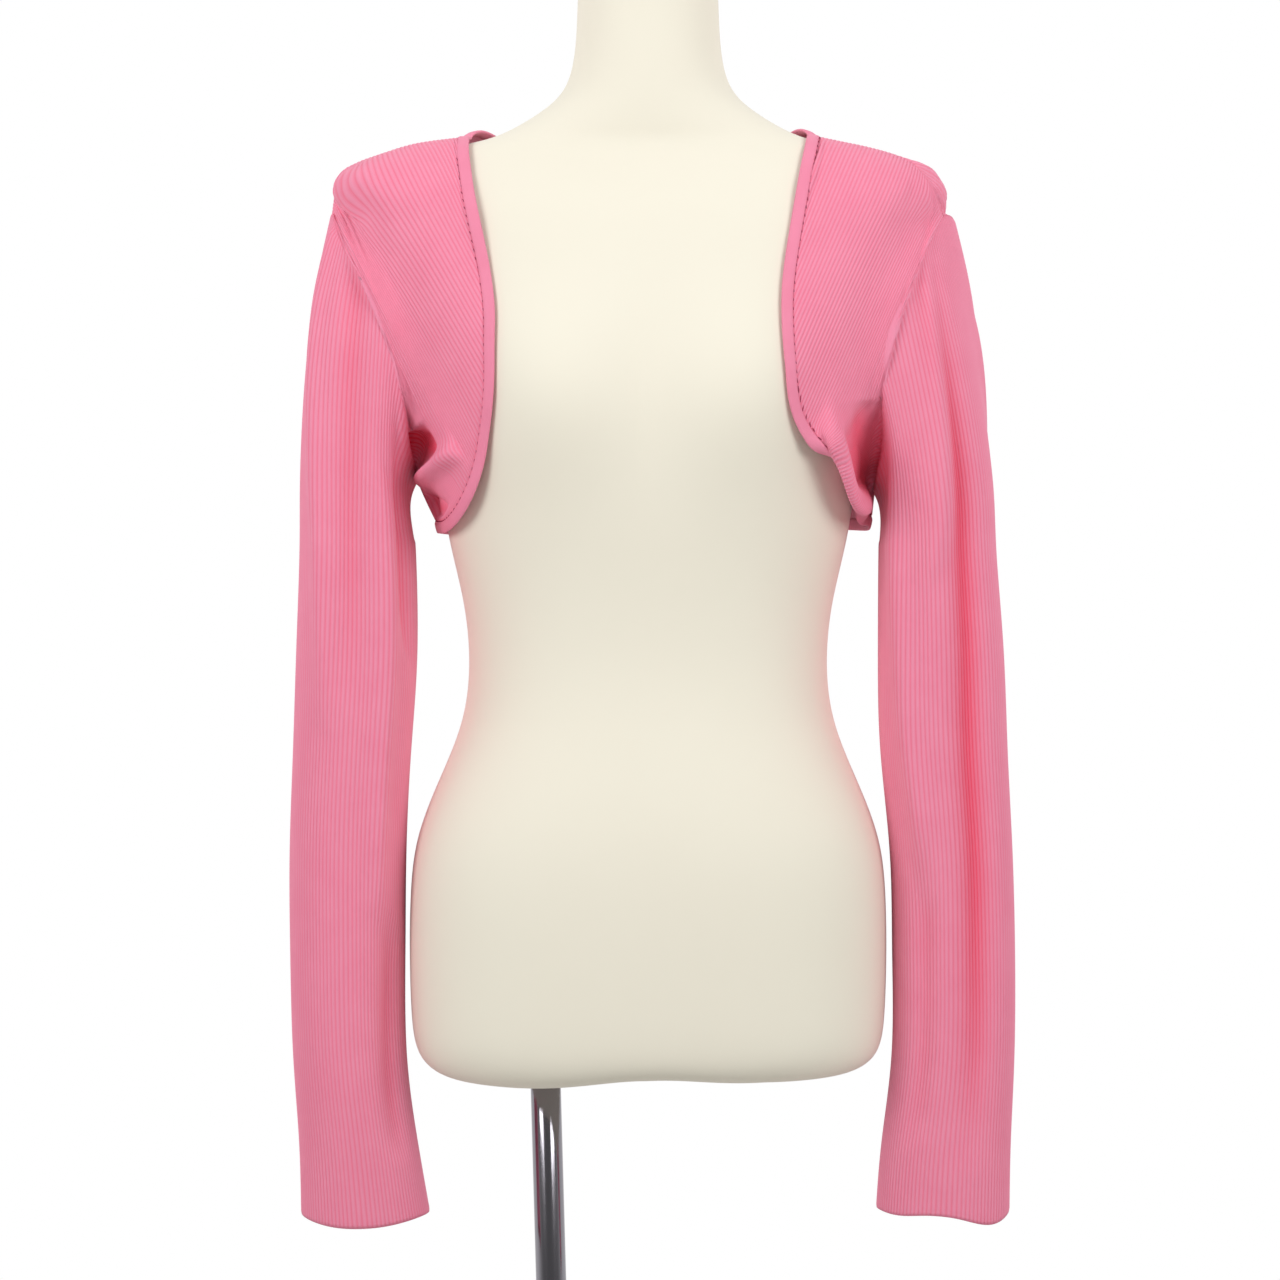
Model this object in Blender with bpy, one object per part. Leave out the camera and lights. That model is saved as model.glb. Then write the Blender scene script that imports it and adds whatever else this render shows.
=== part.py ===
"""Bolero cardigan in fine rib knit, shown on a limbless dress form with a pole and a round base.

Metres, +Z up, the front towards -Y. The origin is the centre of the base plate's underside.
"right" and "left" are the wearer's own, so the right side is at -X. The tables are in millimetres.
"""

from collections import namedtuple
from math import pi, radians, tan

import bpy
import numpy as np
from mathutils.bvhtree import BVHTree

MM = 0.001

# ---------------------------------------------------------------- driving dimensions

CLOTH = 1.6 * MM  # thickness of the knit between its ribs
RIB_RISE = 0.6 * MM  # how far a rib stands above the ground between ribs
SEAM_RIB_SHARE = 0.2  # a rib keeps this share of its height at a seam
SEAM_GAP = 0.3 * MM  # pieces stay this far apart at a seam
FORM_GAP = 2.6 * MM  # from the form to the middle of the cloth that lies on it

# The raised ribs each stand for two or three of the 2.5 mm ribs of the knit.
ARM_ROWS = 11  # rows of points beside the armhole, from the sleeve head to the underarm
SHOULDER_RIBS = 10  # back ribs that end at one shoulder seam; the fronts have two for each
NECK_RIBS = 26  # back ribs that end at the neck
SLEEVE_HEAD_ROWS = 5  # rows from the armhole to the first level section of a sleeve
NECK_POINT = 0.2  # a front starts this share of a rib away from its pointed corner

RIM_ORDER = (0.2, 0.4, 1.0)  # any slanting direction that no seam runs square to for long

BAND_WIDTH = 8.0 * MM  # the plain band that edges fronts, neck and hem
BAND_THICKNESS = 2.6 * MM
SLEEVE_INNER_STEP = 2  # the inside of a sleeve has one column for so many ribs
HEAD_BULGE = 0.26  # how far a sleeve leaves its head outwards for each unit down
UNDERARM_LEAN = 0.85  # and how far it leaves the underarm away from the body

POLE_RADIUS = 10 * MM
POLE_WALL = 1.5 * MM
POLE_TOP_X = -68 * MM  # where the pole's axis enters the form, left of the form's middle
POLE_TOP_Z = 735 * MM
POLE_LEAN = radians(1.6)  # the foot of the pole stands nearer the middle than its top
SOCKET_DEPTH = 90 * MM
SOCKET_CLEARANCE = 0.4 * MM

BASE_RADIUS = 160 * MM
BASE_THICKNESS = 9 * MM
BASE_EDGE = 3 * MM
COLLAR_RADIUS = 19 * MM
COLLAR_HEIGHT = 32 * MM

# ---------------------------------------------------------------- tables, in millimetres

FormRow = namedtuple("FormRow", "z half_width front back square")
FORM = [
    FormRow(722, 108, 62, 70, 2.4),
    FormRow(726, 130, 78, 88, 2.4),
    FormRow(734, 145, 87, 99, 2.4),
    FormRow(748, 153, 92, 108, 2.4),
    FormRow(772, 156, 95, 114, 2.35),
    FormRow(806, 157, 97, 117, 2.3),
    FormRow(842, 156.5, 98, 116, 2.3),
    FormRow(881, 152, 96, 106, 2.3),
    FormRow(920, 138, 89, 87, 2.25),
    FormRow(957, 123.5, 81, 72, 2.2),
    FormRow(995, 118, 77, 66, 2.2),
    FormRow(1037, 121.5, 80, 70, 2.2),
    FormRow(1080, 131, 87, 80, 2.2),
    FormRow(1125, 138, 92, 90, 2.25),
    FormRow(1172, 146, 92, 96, 2.3),
    FormRow(1220, 158, 86, 97, 2.4),
    FormRow(1258, 171, 78, 93, 2.5),
    FormRow(1286, 182, 69, 85, 2.6),
    FormRow(1304, 189, 60, 75, 2.5),
    FormRow(1316, 186, 53, 66, 2.4),
    FormRow(1326, 172, 47, 58, 2.3),
    FormRow(1334, 146, 43, 52, 2.3),
    FormRow(1341, 113, 42, 50, 2.2),
    FormRow(1349, 91, 43, 49, 2.1),
    FormRow(1361, 71, 44, 48, 2.0),
    FormRow(1379, 54, 44, 47, 2.0),
    FormRow(1410, 47.5, 43, 46, 2.0),
    FormRow(1440, 46, 42, 45, 2.0),
    FormRow(1447, 43, 39, 42, 2.0),
]
BUST_X, BUST_Z, BUST_RISE, BUST_SPREAD = 76 * MM, 1172 * MM, 24 * MM, 44 * MM
THIGH_ARCH, THIGH_ARCH_SPREAD, LEFT_THIGH_LIFT = 7 * MM, 50 * MM, 4 * MM
THIGH_FADE_Z = 765 * MM  # the underside's arch has faded out at this height
SHOULDER_EASE, SHOULDER_EASE_Z, SHOULDER_EASE_SPREAD = 11 * MM, 1312 * MM, 18 * MM
SHOULDER_LIFT, LIFT_FROM_X, LIFT_TO_X = 4.5 * MM, 100 * MM, 150 * MM
CLOTH_SHIFT = -5 * MM  # the cardigan hangs this far to the wearer's right on the shoulders

# A seam is a short list of stations. hug is 1 where it lies on the form and 0 where it hangs free.
Station = namedtuple("Station", "x y z hug")

ARMHOLE = {  # from the underarm up the front to the sleeve head, and down the back
    "right": [
        Station(-153, 12, 1119, 0),
        Station(-155, -20, 1136, 0),
        Station(-157, -44, 1154, 0),
        Station(-161, -59, 1180, 0),
        Station(-169, -66, 1212, 0),
        Station(-184, -62, 1245, 0),
        Station(-198, -42, 1269, 0),
        Station(-205, -20, 1287, 0),
        Station(-208.5, 2, 1295, 0),
        Station(-206, 34, 1281, 0),
        Station(-194, 58, 1248, 0),
        Station(-180, 68, 1212, 0),
        Station(-168, 62, 1174, 0),
        Station(-158, 40, 1140, 0),
    ],
    "left": [
        Station(149, 12, 1113, 0),
        Station(151, -20, 1127, 0),
        Station(154, -46, 1148, 0),
        Station(151, -62, 1173, 0),
        Station(151, -68, 1194, 0),
        Station(157, -68, 1218, 0),
        Station(169, -62, 1241, 0),
        Station(180, -46, 1267, 0),
        Station(193.5, -19, 1291, 0),
        Station(202, 4, 1291, 0),
        Station(200, 34, 1277, 0),
        Station(188, 57, 1246, 0),
        Station(175, 66, 1210, 0),
        Station(163, 60, 1172, 0),
        Station(153, 40, 1136, 0),
    ],
}
ARMHOLE_HEAD = 8  # the station at the sleeve head, where the shoulder seam ends

SHOULDER_SEAM = {  # between the neck point and the sleeve head
    "right": [
        Station(-150, 6, 1341, 0),
        Station(-178, 8, 1334, 0),
        Station(-199, 8, 1325.5, 0),
        Station(-206.5, 6, 1312, 0),
    ],
    "left": [
        Station(140, -6, 1338, 0),
        Station(168.5, -15, 1328.5, 0),
        Station(182, -26, 1311, 0),
    ],
}

FRONT_EDGE = {  # where the band joins the front, from the neck point to the side seam
    "right": [
        Station(-124.5, 2, 1344.5, 1),
        Station(-119.5, -45, 1300, 1),
        Station(-112.5, -80, 1257, 1),
        Station(-112, -93, 1221, 1),
        Station(-114, -97, 1177, 1),
        Station(-115.5, -92, 1154, 0.95),
        Station(-118, -84, 1131, 0.85),
        Station(-122.5, -73, 1110, 0.6),
        Station(-127, -54, 1097, 0.3),
        Station(-133, -28, 1091, 0.1),
        Station(-140, 8, 1091.5, 0),
    ],
    "left": [
        Station(113, 0, 1344, 1),
        Station(105.5, -38, 1314, 1),
        Station(98, -70, 1273.5, 1),
        Station(95.5, -90, 1236, 1),
        Station(97.5, -102, 1203.5, 1),
        Station(103, -106, 1178, 1),
        Station(110.5, -102, 1151.5, 0.9),
        Station(119.5, -88, 1128, 0.7),
        Station(127, -72, 1113, 0.4),
        Station(133, -50, 1102, 0.1),
        Station(137, -22, 1097, 0),
        Station(141, 8, 1098, 0),
    ],
}
NECK_EDGE = [  # round the back of the neck, from the right neck point to the left one
    Station(-104, 44, 1337, 1),
    Station(-62, 74, 1322, 1),
    Station(0, 84, 1315, 1),
    Station(56, 74, 1322, 1),
    Station(95, 44, 1337, 1),
]
HEM_EDGE = [  # under the back, from the right side seam to the left one
    Station(-139, 40, 1092, 0),
    Station(-121, 72, 1091, 0),
    Station(-70, 94, 1088, 0),
    Station(0, 99, 1086, 0),
    Station(70, 94, 1089, 0),
    Station(123, 72, 1095, 0),
    Station(140, 38, 1098, 0),
]

SleeveRow = namedtuple("SleeveRow", "z x y half_width half_depth square")
SLEEVE = {  # level sections below the underarm, down to the cuff
    "right": [
        SleeveRow(1068, -191.5, 0, 37.5, 50, 2.2),
        SleeveRow(1006, -192, -2, 39, 46, 2.2),
        SleeveRow(940, -195, -4, 38, 42, 2.2),
        SleeveRow(874, -197.5, -6, 37.5, 39, 2.2),
        SleeveRow(808, -197.5, -8, 37, 36, 2.2),
        SleeveRow(742, -196, -10, 36.5, 33, 2.2),
        SleeveRow(686, -190.5, -12, 38, 29, 2.2),
        SleeveRow(639, -185.5, -13, 41.5, 25, 2.2),
    ],
    "left": [
        SleeveRow(1068, 191, 0, 38, 50, 2.2),
        SleeveRow(1006, 193, -2, 40.5, 46, 2.2),
        SleeveRow(940, 195, -4, 41, 42, 2.2),
        SleeveRow(874, 199.5, -6, 39.5, 39, 2.2),
        SleeveRow(808, 201, -8, 39.5, 36, 2.2),
        SleeveRow(742, 200.5, -10, 39.5, 32, 2.2),
        SleeveRow(686, 196, -12, 41.5, 28, 2.2),
        SleeveRow(641, 193.5, -13, 43, 25, 2.2),
    ],
}
# A fold is a soft ridge, or a trough where its height is below 0, between two places on a piece.
# around and down run from 0 to 1 over the piece, and height and width are in millimetres.
Fold = namedtuple("Fold", "around_from down_from around_to down_to height width")
PieceSize = namedtuple("PieceSize", "around down")
SLEEVE_SIZE = PieceSize(250, 660)
FRONT_SIZE = PieceSize(110, 230)
BACK_SIZE = PieceSize(330, 230)
SLEEVE_FOLDS = {  # around is 0 at the underarm, 0.25 at the front, 0.5 outside and 0.75 behind
    "right": [
        Fold(0.42, 0.07, 0.29, 0.45, 5.0, 9),
        Fold(0.30, 0.12, 0.21, 0.50, -4.5, 11),
        Fold(0.15, 0.28, 0.14, 0.62, 4.0, 10),
        Fold(0.10, 0.62, 0.13, 0.93, -5.0, 11),
        Fold(0.60, 0.10, 0.70, 0.52, 4.5, 12),
        Fold(0.74, 0.20, 0.80, 0.70, -4.5, 13),
        Fold(0.88, 0.30, 0.90, 0.66, 4.0, 11),
    ],
    "left": [
        Fold(0.44, 0.07, 0.25, 0.36, 5.0, 9),
        Fold(0.24, 0.36, 0.22, 0.92, 3.5, 9),
        Fold(0.38, 0.12, 0.32, 0.80, -4.5, 12),
        Fold(0.13, 0.28, 0.11, 0.62, 4.0, 10),
        Fold(0.17, 0.55, 0.16, 0.92, -3.5, 9),
        Fold(0.60, 0.10, 0.68, 0.50, 4.5, 12),
        Fold(0.74, 0.18, 0.80, 0.75, -4.5, 13),
        Fold(0.88, 0.30, 0.90, 0.70, 4.0, 11),
    ],
}
FRONT_FOLDS = {  # around is 0 at the neck point and 1 at the armhole; down is 1 at the band
    "right": [Fold(0.62, 0.92, 0.95, 0.86, 8.0, 15), Fold(0.86, 0.50, 0.93, 0.66, -4.0, 14)],
    "left": [Fold(0.56, 0.92, 0.96, 0.90, 11.0, 14), Fold(0.84, 0.46, 0.92, 0.64, -4.0, 14)],
}
BACK_FOLDS = [  # around is 0 at the wearer's right
    Fold(0.07, 0.46, 0.20, 0.92, 4.5, 14),
    Fold(0.05, 0.66, 0.10, 0.92, -3.0, 10),
    Fold(0.93, 0.46, 0.80, 0.92, 4.5, 14),
    Fold(0.95, 0.66, 0.90, 0.92, -3.0, 10),
    Fold(0.40, 0.52, 0.34, 0.90, 3.0, 18),
    Fold(0.60, 0.52, 0.66, 0.90, 3.0, 18),
]
CuffWave = namedtuple("CuffWave", "around drop spread")
CUFF_WAVES = {
    "right": [CuffWave(0.27, 9, 0.12), CuffWave(0.75, 5, 0.12)],
    "left": [CuffWave(0.36, 9, 0.07), CuffWave(0.14, 3, 0.06), CuffWave(0.72, 5, 0.12)],
}

SIDE = {"right": -1, "left": 1}

COLOURS = {
    "knit": ((0.84, 0.28, 0.40, 1), 0.9, 0.0),
    "band": ((0.82, 0.26, 0.38, 1), 0.9, 0.0),
    "jersey": ((0.86, 0.83, 0.74, 1), 0.85, 0.0),
    "chrome": ((0.62, 0.61, 0.64, 1), 0.12, 1.0),
}


# ---------------------------------------------------------------- curves


def read(knots, at, closed=False):
    """The smooth curve through the knots, read at the places `at`, which are counted in knots.

    It is a uniform cubic B-spline, whose coefficients make it pass through every knot.
    """
    knots = np.asarray(knots, float)
    count, extra = len(knots), 0 if closed else 1
    size = count + 2 * extra
    through = np.zeros((size, size))
    wanted = np.zeros((size,) + knots.shape[1:])
    for k in range(count):
        row = k + extra
        for step, weight in ((-1, 1 / 6), (0, 4 / 6), (1, 1 / 6)):
            through[row, (row + step) % size] += weight
        wanted[row] = knots[k]
    if not closed:
        through[0, :3] = through[-1, -3:] = (1, -2, 1)
    coefficients = np.linalg.solve(through, wanted)
    whole = np.floor(at).astype(int)
    if not closed:
        whole = np.clip(whole, 0, count - 2)
    part = (np.asarray(at) - whole)[:, None]
    basis = (
        (1 - part) ** 3 / 6,
        (3 * part**3 - 6 * part**2 + 4) / 6,
        (-3 * part**3 + 3 * part**2 + 3 * part + 1) / 6,
        part**3 / 6,
    )
    picked = [(whole + step + extra) % size for step in (-1, 0, 1, 2)]
    return sum(weight * coefficients[index] for weight, index in zip(basis, picked))


def spread(knots, count, first=0, last=None, closed=False):
    """Points that part the smooth curve from knot `first` to knot `last` into equal lengths."""
    last = len(knots) - 1 if last is None else last
    fine = read(knots, np.linspace(first, last, 40 * (last - first) + 1), closed)
    length = np.concatenate([[0], np.cumsum(np.linalg.norm(np.diff(fine, axis=0), axis=1))])
    wanted = np.linspace(0, length[-1], count + 1)
    return np.stack([np.interp(wanted, length, fine[:, k]) for k in range(3)], axis=1)


def with_middles(points, closed=False):
    """The points with the middle of each neighbouring pair between them."""
    after = np.roll(points, -1, axis=0)
    doubled = np.stack([points, (points + after) / 2], axis=1).reshape((-1,) + points.shape[1:])
    return doubled if closed else doubled[:-1]


def unit(vectors):
    return vectors / np.maximum(np.linalg.norm(vectors, axis=-1, keepdims=True), 1e-9)


# ---------------------------------------------------------------- dress form


def form_surface(rows, columns):
    """Rings of the form from its underside up to the top of the neck, as an array of points."""
    table = read(FORM, np.linspace(0, len(FORM) - 1, rows))
    z, half_width, front, back, square = (table[:, k, None] for k in range(5))
    turn = np.linspace(0, 2 * pi, columns, endpoint=False)[None, :]
    across = np.sign(np.cos(turn)) * np.abs(np.cos(turn)) ** (2 / square)
    deep = np.sign(np.sin(turn)) * np.abs(np.sin(turn)) ** (2 / square)
    x = MM * half_width * across
    y = MM * np.where(deep < 0, front, back) * deep
    z = MM * z + 0 * x
    bust = np.exp(-((np.abs(x) - BUST_X) ** 2 + (z - BUST_Z) ** 2) / (2 * BUST_SPREAD**2))
    y = y - BUST_RISE * bust * np.clip(-deep, 0, 1) ** 2
    low = np.clip((THIGH_FADE_Z - z) / (THIGH_FADE_Z - FORM[0].z * MM), 0, 1) ** 2
    arch = THIGH_ARCH * np.exp(-((x / THIGH_ARCH_SPREAD) ** 2))
    z = z + low * (arch + LEFT_THIGH_LIFT * np.clip(x / BUST_X, 0, 1))
    return np.stack([x, y, z], axis=2)


def ring_faces(rings, corners, closed=False):
    """Quads between neighbouring rings of a tube, whose last ring meets its first when closed."""
    ring, corner = np.meshgrid(
        np.arange(rings if closed else rings - 1), np.arange(corners), indexing="ij"
    )
    after, above = (corner + 1) % corners, (ring + 1) % rings
    quads = [ring * corners + corner, ring * corners + after]
    quads += [above * corners + after, above * corners + corner]
    return np.stack(quads, axis=-1).reshape(-1, 4).tolist()


def form_mesh(rows, columns):
    rings = form_surface(rows, columns)
    ends = [rings[0].mean(axis=0), rings[-1].mean(axis=0)]
    points = np.concatenate([rings.reshape(-1, 3), ends])
    foot, top = rows * columns, rows * columns + 1
    faces = ring_faces(rows, columns)
    for k in range(columns):
        after = (k + 1) % columns
        faces.append([foot, after, k])
        faces.append([top, (rows - 1) * columns + k, (rows - 1) * columns + after])
    return points, faces


def draping_tree():
    """The form, a little wider at the shoulder tips, where the cloth stands off it."""
    points, faces = form_mesh(rows=90, columns=96)
    points = points.copy()
    near = np.exp(-(((points[:, 2] - SHOULDER_EASE_Z) / SHOULDER_EASE_SPREAD) ** 2))
    outwards = points[:, 0] / np.abs(points[:, 0]).max()
    out = np.clip((np.abs(points[:, 0]) - LIFT_FROM_X) / (LIFT_TO_X - LIFT_FROM_X), 0, 1)
    up = np.clip((points[:, 2] - SHOULDER_EASE_Z) / SHOULDER_EASE_SPREAD + 1, 0, 1)
    points[:, 0] += near * (SHOULDER_EASE * outwards + CLOTH_SHIFT)
    points[:, 2] += up * out * SHOULDER_LIFT
    return BVHTree.FromPolygons(points.tolist(), faces)


def off_form(tree, points, gap=FORM_GAP, hug=0.0):
    """Moves points out until they clear the form by the gap. With hug 1 they lie on it at the gap."""
    moved = np.array(points, float)
    hugs = np.broadcast_to(hug, moved.shape[:-1])
    for place in np.ndindex(moved.shape[:-1]):
        near, normal, _, _ = tree.find_nearest(moved[place].tolist())
        near, normal = np.array(near), np.array(normal)
        on_form = near + normal * gap
        if (moved[place] - near) @ normal < gap:
            moved[place] = on_form
        else:
            moved[place] += hugs[place] * (on_form - moved[place])
    return moved


# ---------------------------------------------------------------- the net of cloth points


def stations(tree, rows):
    points = np.array([row[:3] for row in rows]) * MM
    return off_form(tree, points, hug=np.array([row.hug for row in rows]))


def seams(tree):
    """The points of every seam, as name -> points, each running the way that its table says.

    Pieces that meet share these points, so that their edges follow the same corners.
    """
    found = {}
    for side in SIDE:
        hole = stations(tree, ARMHOLE[side])
        front_arm = spread(hole, ARM_ROWS, 0, ARMHOLE_HEAD, closed=True)
        back_arm = spread(hole, ARM_ROWS, ARMHOLE_HEAD, len(hole), closed=True)
        found[side, "front_arm"] = off_form(tree, front_arm)
        found[side, "back_arm"] = off_form(tree, back_arm)
        found[side, "back_arm"][0] = head = found[side, "front_arm"][-1]
        found[side, "back_arm"][-1] = found[side, "front_arm"][0]
        edge = stations(tree, FRONT_EDGE[side])
        found[side, "edge"] = off_form(tree, spread(edge, 2 * SHOULDER_RIBS))
        neck_point = found[side, "edge"][0]
        shoulder = np.stack([neck_point, *stations(tree, SHOULDER_SEAM[side]), head])
        shoulder = off_form(tree, spread(shoulder, SHOULDER_RIBS))
        shoulder[0], shoulder[-1] = neck_point, head
        found[side, "shoulder"] = with_middles(shoulder)
    for name, rows, count, end in (
        ("neck", NECK_EDGE, NECK_RIBS, 0),
        ("hem", HEM_EDGE, 2 * SHOULDER_RIBS + NECK_RIBS, -1),
    ):
        first, last = found["right", "edge"][end], found["left", "edge"][end]
        line = np.stack([first, *stations(tree, rows), last])
        found[name] = off_form(tree, spread(line, count))
        found[name][0], found[name][-1] = first, last
    return found


def patch(top, end, first, last):
    """Points [column, row] between four edges that share their corners, as a Coons patch."""
    columns = np.linspace(0, 1, len(top))[:, None, None]
    rows = np.linspace(0, 1, len(first))[None, :, None]
    across = (1 - columns) * first[None] + columns * last[None]
    down = (1 - rows) * top[:, None] + rows * end[:, None]
    corners = (1 - columns) * ((1 - rows) * top[0] + rows * end[0])
    corners = corners + columns * ((1 - rows) * top[-1] + rows * end[-1])
    return across + down - corners


def settle(tree, net, passes=240):
    """Lets the points inside a patch draw together like stretched cloth, held off the form."""
    for _ in range(passes):
        middle = net[:-2, 1:-1] + net[2:, 1:-1] + net[1:-1, :-2] + net[1:-1, 2:]
        net[1:-1, 1:-1] = off_form(tree, middle / 4)
    return net


def front_net(tree, seam, side):
    """Columns follow the ribs, from the shoulder seam to the band. The last is the armhole."""
    top, end = seam[side, "shoulder"], seam[side, "edge"]
    armhole = np.concatenate([seam[side, "front_arm"][::-1], end[-1:]])
    corner = np.repeat(top[:1], len(armhole), axis=0)
    net = settle(tree, patch(top, end, corner, armhole))
    net[0] += NECK_POINT * (net[1] - net[0])
    return net


def back_net(tree, seam):
    """Columns run down the back, from the right armhole to the left one."""
    right, left = seam["right", "shoulder"][::-2], seam["left", "shoulder"][::2]
    top = np.concatenate([right, seam["neck"][1:-1], left])
    armholes = [
        np.concatenate([seam[side, "back_arm"], seam[side, "edge"][-1:]]) for side in SIDE
    ]
    return settle(tree, patch(top, seam["hem"], *armholes))


def level_ring(row, side, columns):
    """A flattened oval, from the sleeve's inner side round by the front."""
    turn = 2 * pi * np.arange(columns) / columns
    across = np.sign(np.cos(turn)) * np.abs(np.cos(turn)) ** (2 / row.square)
    deep = np.sign(np.sin(turn)) * np.abs(np.sin(turn)) ** (2 / row.square)
    x = row.x - SIDE[side] * row.half_width * across
    y = row.y - row.half_depth * deep
    return np.stack([x, y, row.z + 0 * x], axis=1) * MM


def sleeve_net(seam, side):
    """Rings from the armhole to the cuff, which start in the armhole's slant and end level."""
    hole = np.concatenate([seam[side, "front_arm"], seam[side, "back_arm"][1:-1]])
    hole = with_middles(hole, closed=True)
    columns = len(hole)
    rings = [level_ring(row, side, columns) for row in SLEEVE[side]]
    around = np.arange(columns) / columns
    for wave in CUFF_WAVES[side]:
        away = (around - wave.around + 0.5) % 1 - 0.5
        rings[-1][:, 2] -= wave.drop * MM * np.exp(-((away / wave.spread) ** 2) / 2)
    drop = np.linalg.norm(rings[0] - hole, axis=1)[:, None]
    outward = unit((hole - hole.mean(axis=0)) * (1, 1, 0))
    height = (hole[:, 2:] - hole[:, 2].min()) / np.ptp(hole[:, 2])
    aside = HEAD_BULGE * height * outward + UNDERARM_LEAN * (1 - height) ** 2 * (SIDE[side], 0, 0)
    leave = drop * (aside - (0, 0, 1))
    arrive = drop * np.array([0, 0, -0.9])
    slanted = []
    for row in range(SLEEVE_HEAD_ROWS):
        share = row / SLEEVE_HEAD_ROWS
        ahead = 3 * share**2 - 2 * share**3
        ring = (1 - ahead) * hole + ahead * rings[0]
        ring = ring + (share - 2 * share**2 + share**3) * leave + (share**3 - share**2) * arrive
        slanted.append(ring)
    return np.stack(slanted + rings, axis=1)


# ---------------------------------------------------------------- folds and directions


def fold_heights(rows, size, around, down, closed):
    """Height of the folds over a grid of places, in metres."""
    height = np.zeros(np.broadcast(around, down).shape)
    for row in rows:
        run = np.array([row.around_to - row.around_from, row.down_to - row.down_from]) * size
        across = around - row.around_from
        if closed:
            across = (across + 0.5) % 1 - 0.5
        here = np.stack(np.broadcast_arrays(across, down - row.down_from), axis=-1) * size
        share = np.clip(here @ run / (run @ run), 0, 1)
        away = np.linalg.norm(here - share[..., None] * run, axis=-1)
        swell = 1 - (2 * share - 1) ** 4
        height += row.height * MM * swell * np.exp(-((away / row.width) ** 2))
    return height


def directions(net, turn, closed):
    """Outward directions at the points of a net. turn is -1 where its columns run clockwise."""
    if closed:
        across = np.roll(net, -1, axis=0) - np.roll(net, 1, axis=0)
    else:
        across = np.gradient(net, axis=0)
    return turn * unit(np.cross(across, np.gradient(net, axis=1)))


def share_directions(nets, found):
    """Gives points that lie in one place, as on a seam, the mean of their pieces' directions."""
    total = {}
    keys = {name: np.round(net / (0.01 * MM)).astype(int) for name, net in nets.items()}
    for name, places in keys.items():
        for place in np.ndindex(places.shape[:2]):
            key = tuple(places[place])
            total[key] = total.get(key, 0) + found[name][place]
    for name, places in keys.items():
        for place in np.ndindex(places.shape[:2]):
            found[name][place] = unit(total[tuple(places[place])])


def folded(tree, net, facing, rows, size, turn, closed):
    """The net with its folds, and its directions. Its seams stay where they are."""
    around = np.linspace(0, 1, len(net), endpoint=not closed)[:, None]
    down = np.linspace(0, 1, net.shape[1])[None, :]
    height = fold_heights(rows, size, around, down, closed) * np.clip(4 * down, 0, 1)
    if not closed:
        height = height * np.clip(10 - 10 * down, 0, 1)
        height = height * np.clip(5 * around, 0, 1) * np.clip(5 - 5 * around, 0, 1)
    net = off_form(tree, net + height[..., None] * facing)
    own = directions(net, turn, closed)
    own[:, 0] = facing[:, 0]
    if not closed:
        own[:, -1], own[0], own[-1] = facing[:, -1], facing[0], facing[-1]
    return net, own


def drawn_in(edge, beside, facing, closed=False):
    """An edge moved over the cloth towards its piece by half the gap, at right angles to itself."""
    if closed:
        along = np.roll(edge, -1, axis=0) - np.roll(edge, 1, axis=0)
    else:
        along = np.gradient(edge, axis=0)
    inward = unit(np.cross(facing, along))
    way = np.sign(((beside - edge) * inward).sum())
    return edge + SEAM_GAP / 2 * way * inward


def trimmed(net, facing, closed):
    """The net with its seam edges drawn in, so that pieces keep the gap between them."""
    drawn = net.copy()
    drawn[:, 0] = drawn_in(net[:, 0], net[:, 1], facing[:, 0], closed)
    if not closed:
        drawn[:, -1] = drawn_in(net[:, -1], net[:, -2], facing[:, -1])
        drawn[0] = drawn_in(drawn[0], drawn[1], facing[0])
        drawn[-1] = drawn_in(drawn[-1], drawn[-2], facing[-1])
    return drawn


# ---------------------------------------------------------------- cloth pieces


def rim(points, outs, below_first, below_last):
    """Faces between a run of outer points on a piece's edge and the two inner points below its ends.

    They part along the diagonal from the outer end that lies further along RIM_ORDER, so that the
    edges of two pieces that meet are parted alike and stay parallel where the seam twists.
    """
    if (points[outs[-1]] - points[outs[0]]) @ RIM_ORDER > 0:
        return [outs + [below_first], [outs[-1], below_last, below_first]]
    return [outs + [below_last], [outs[0], below_last, below_first]]


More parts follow.
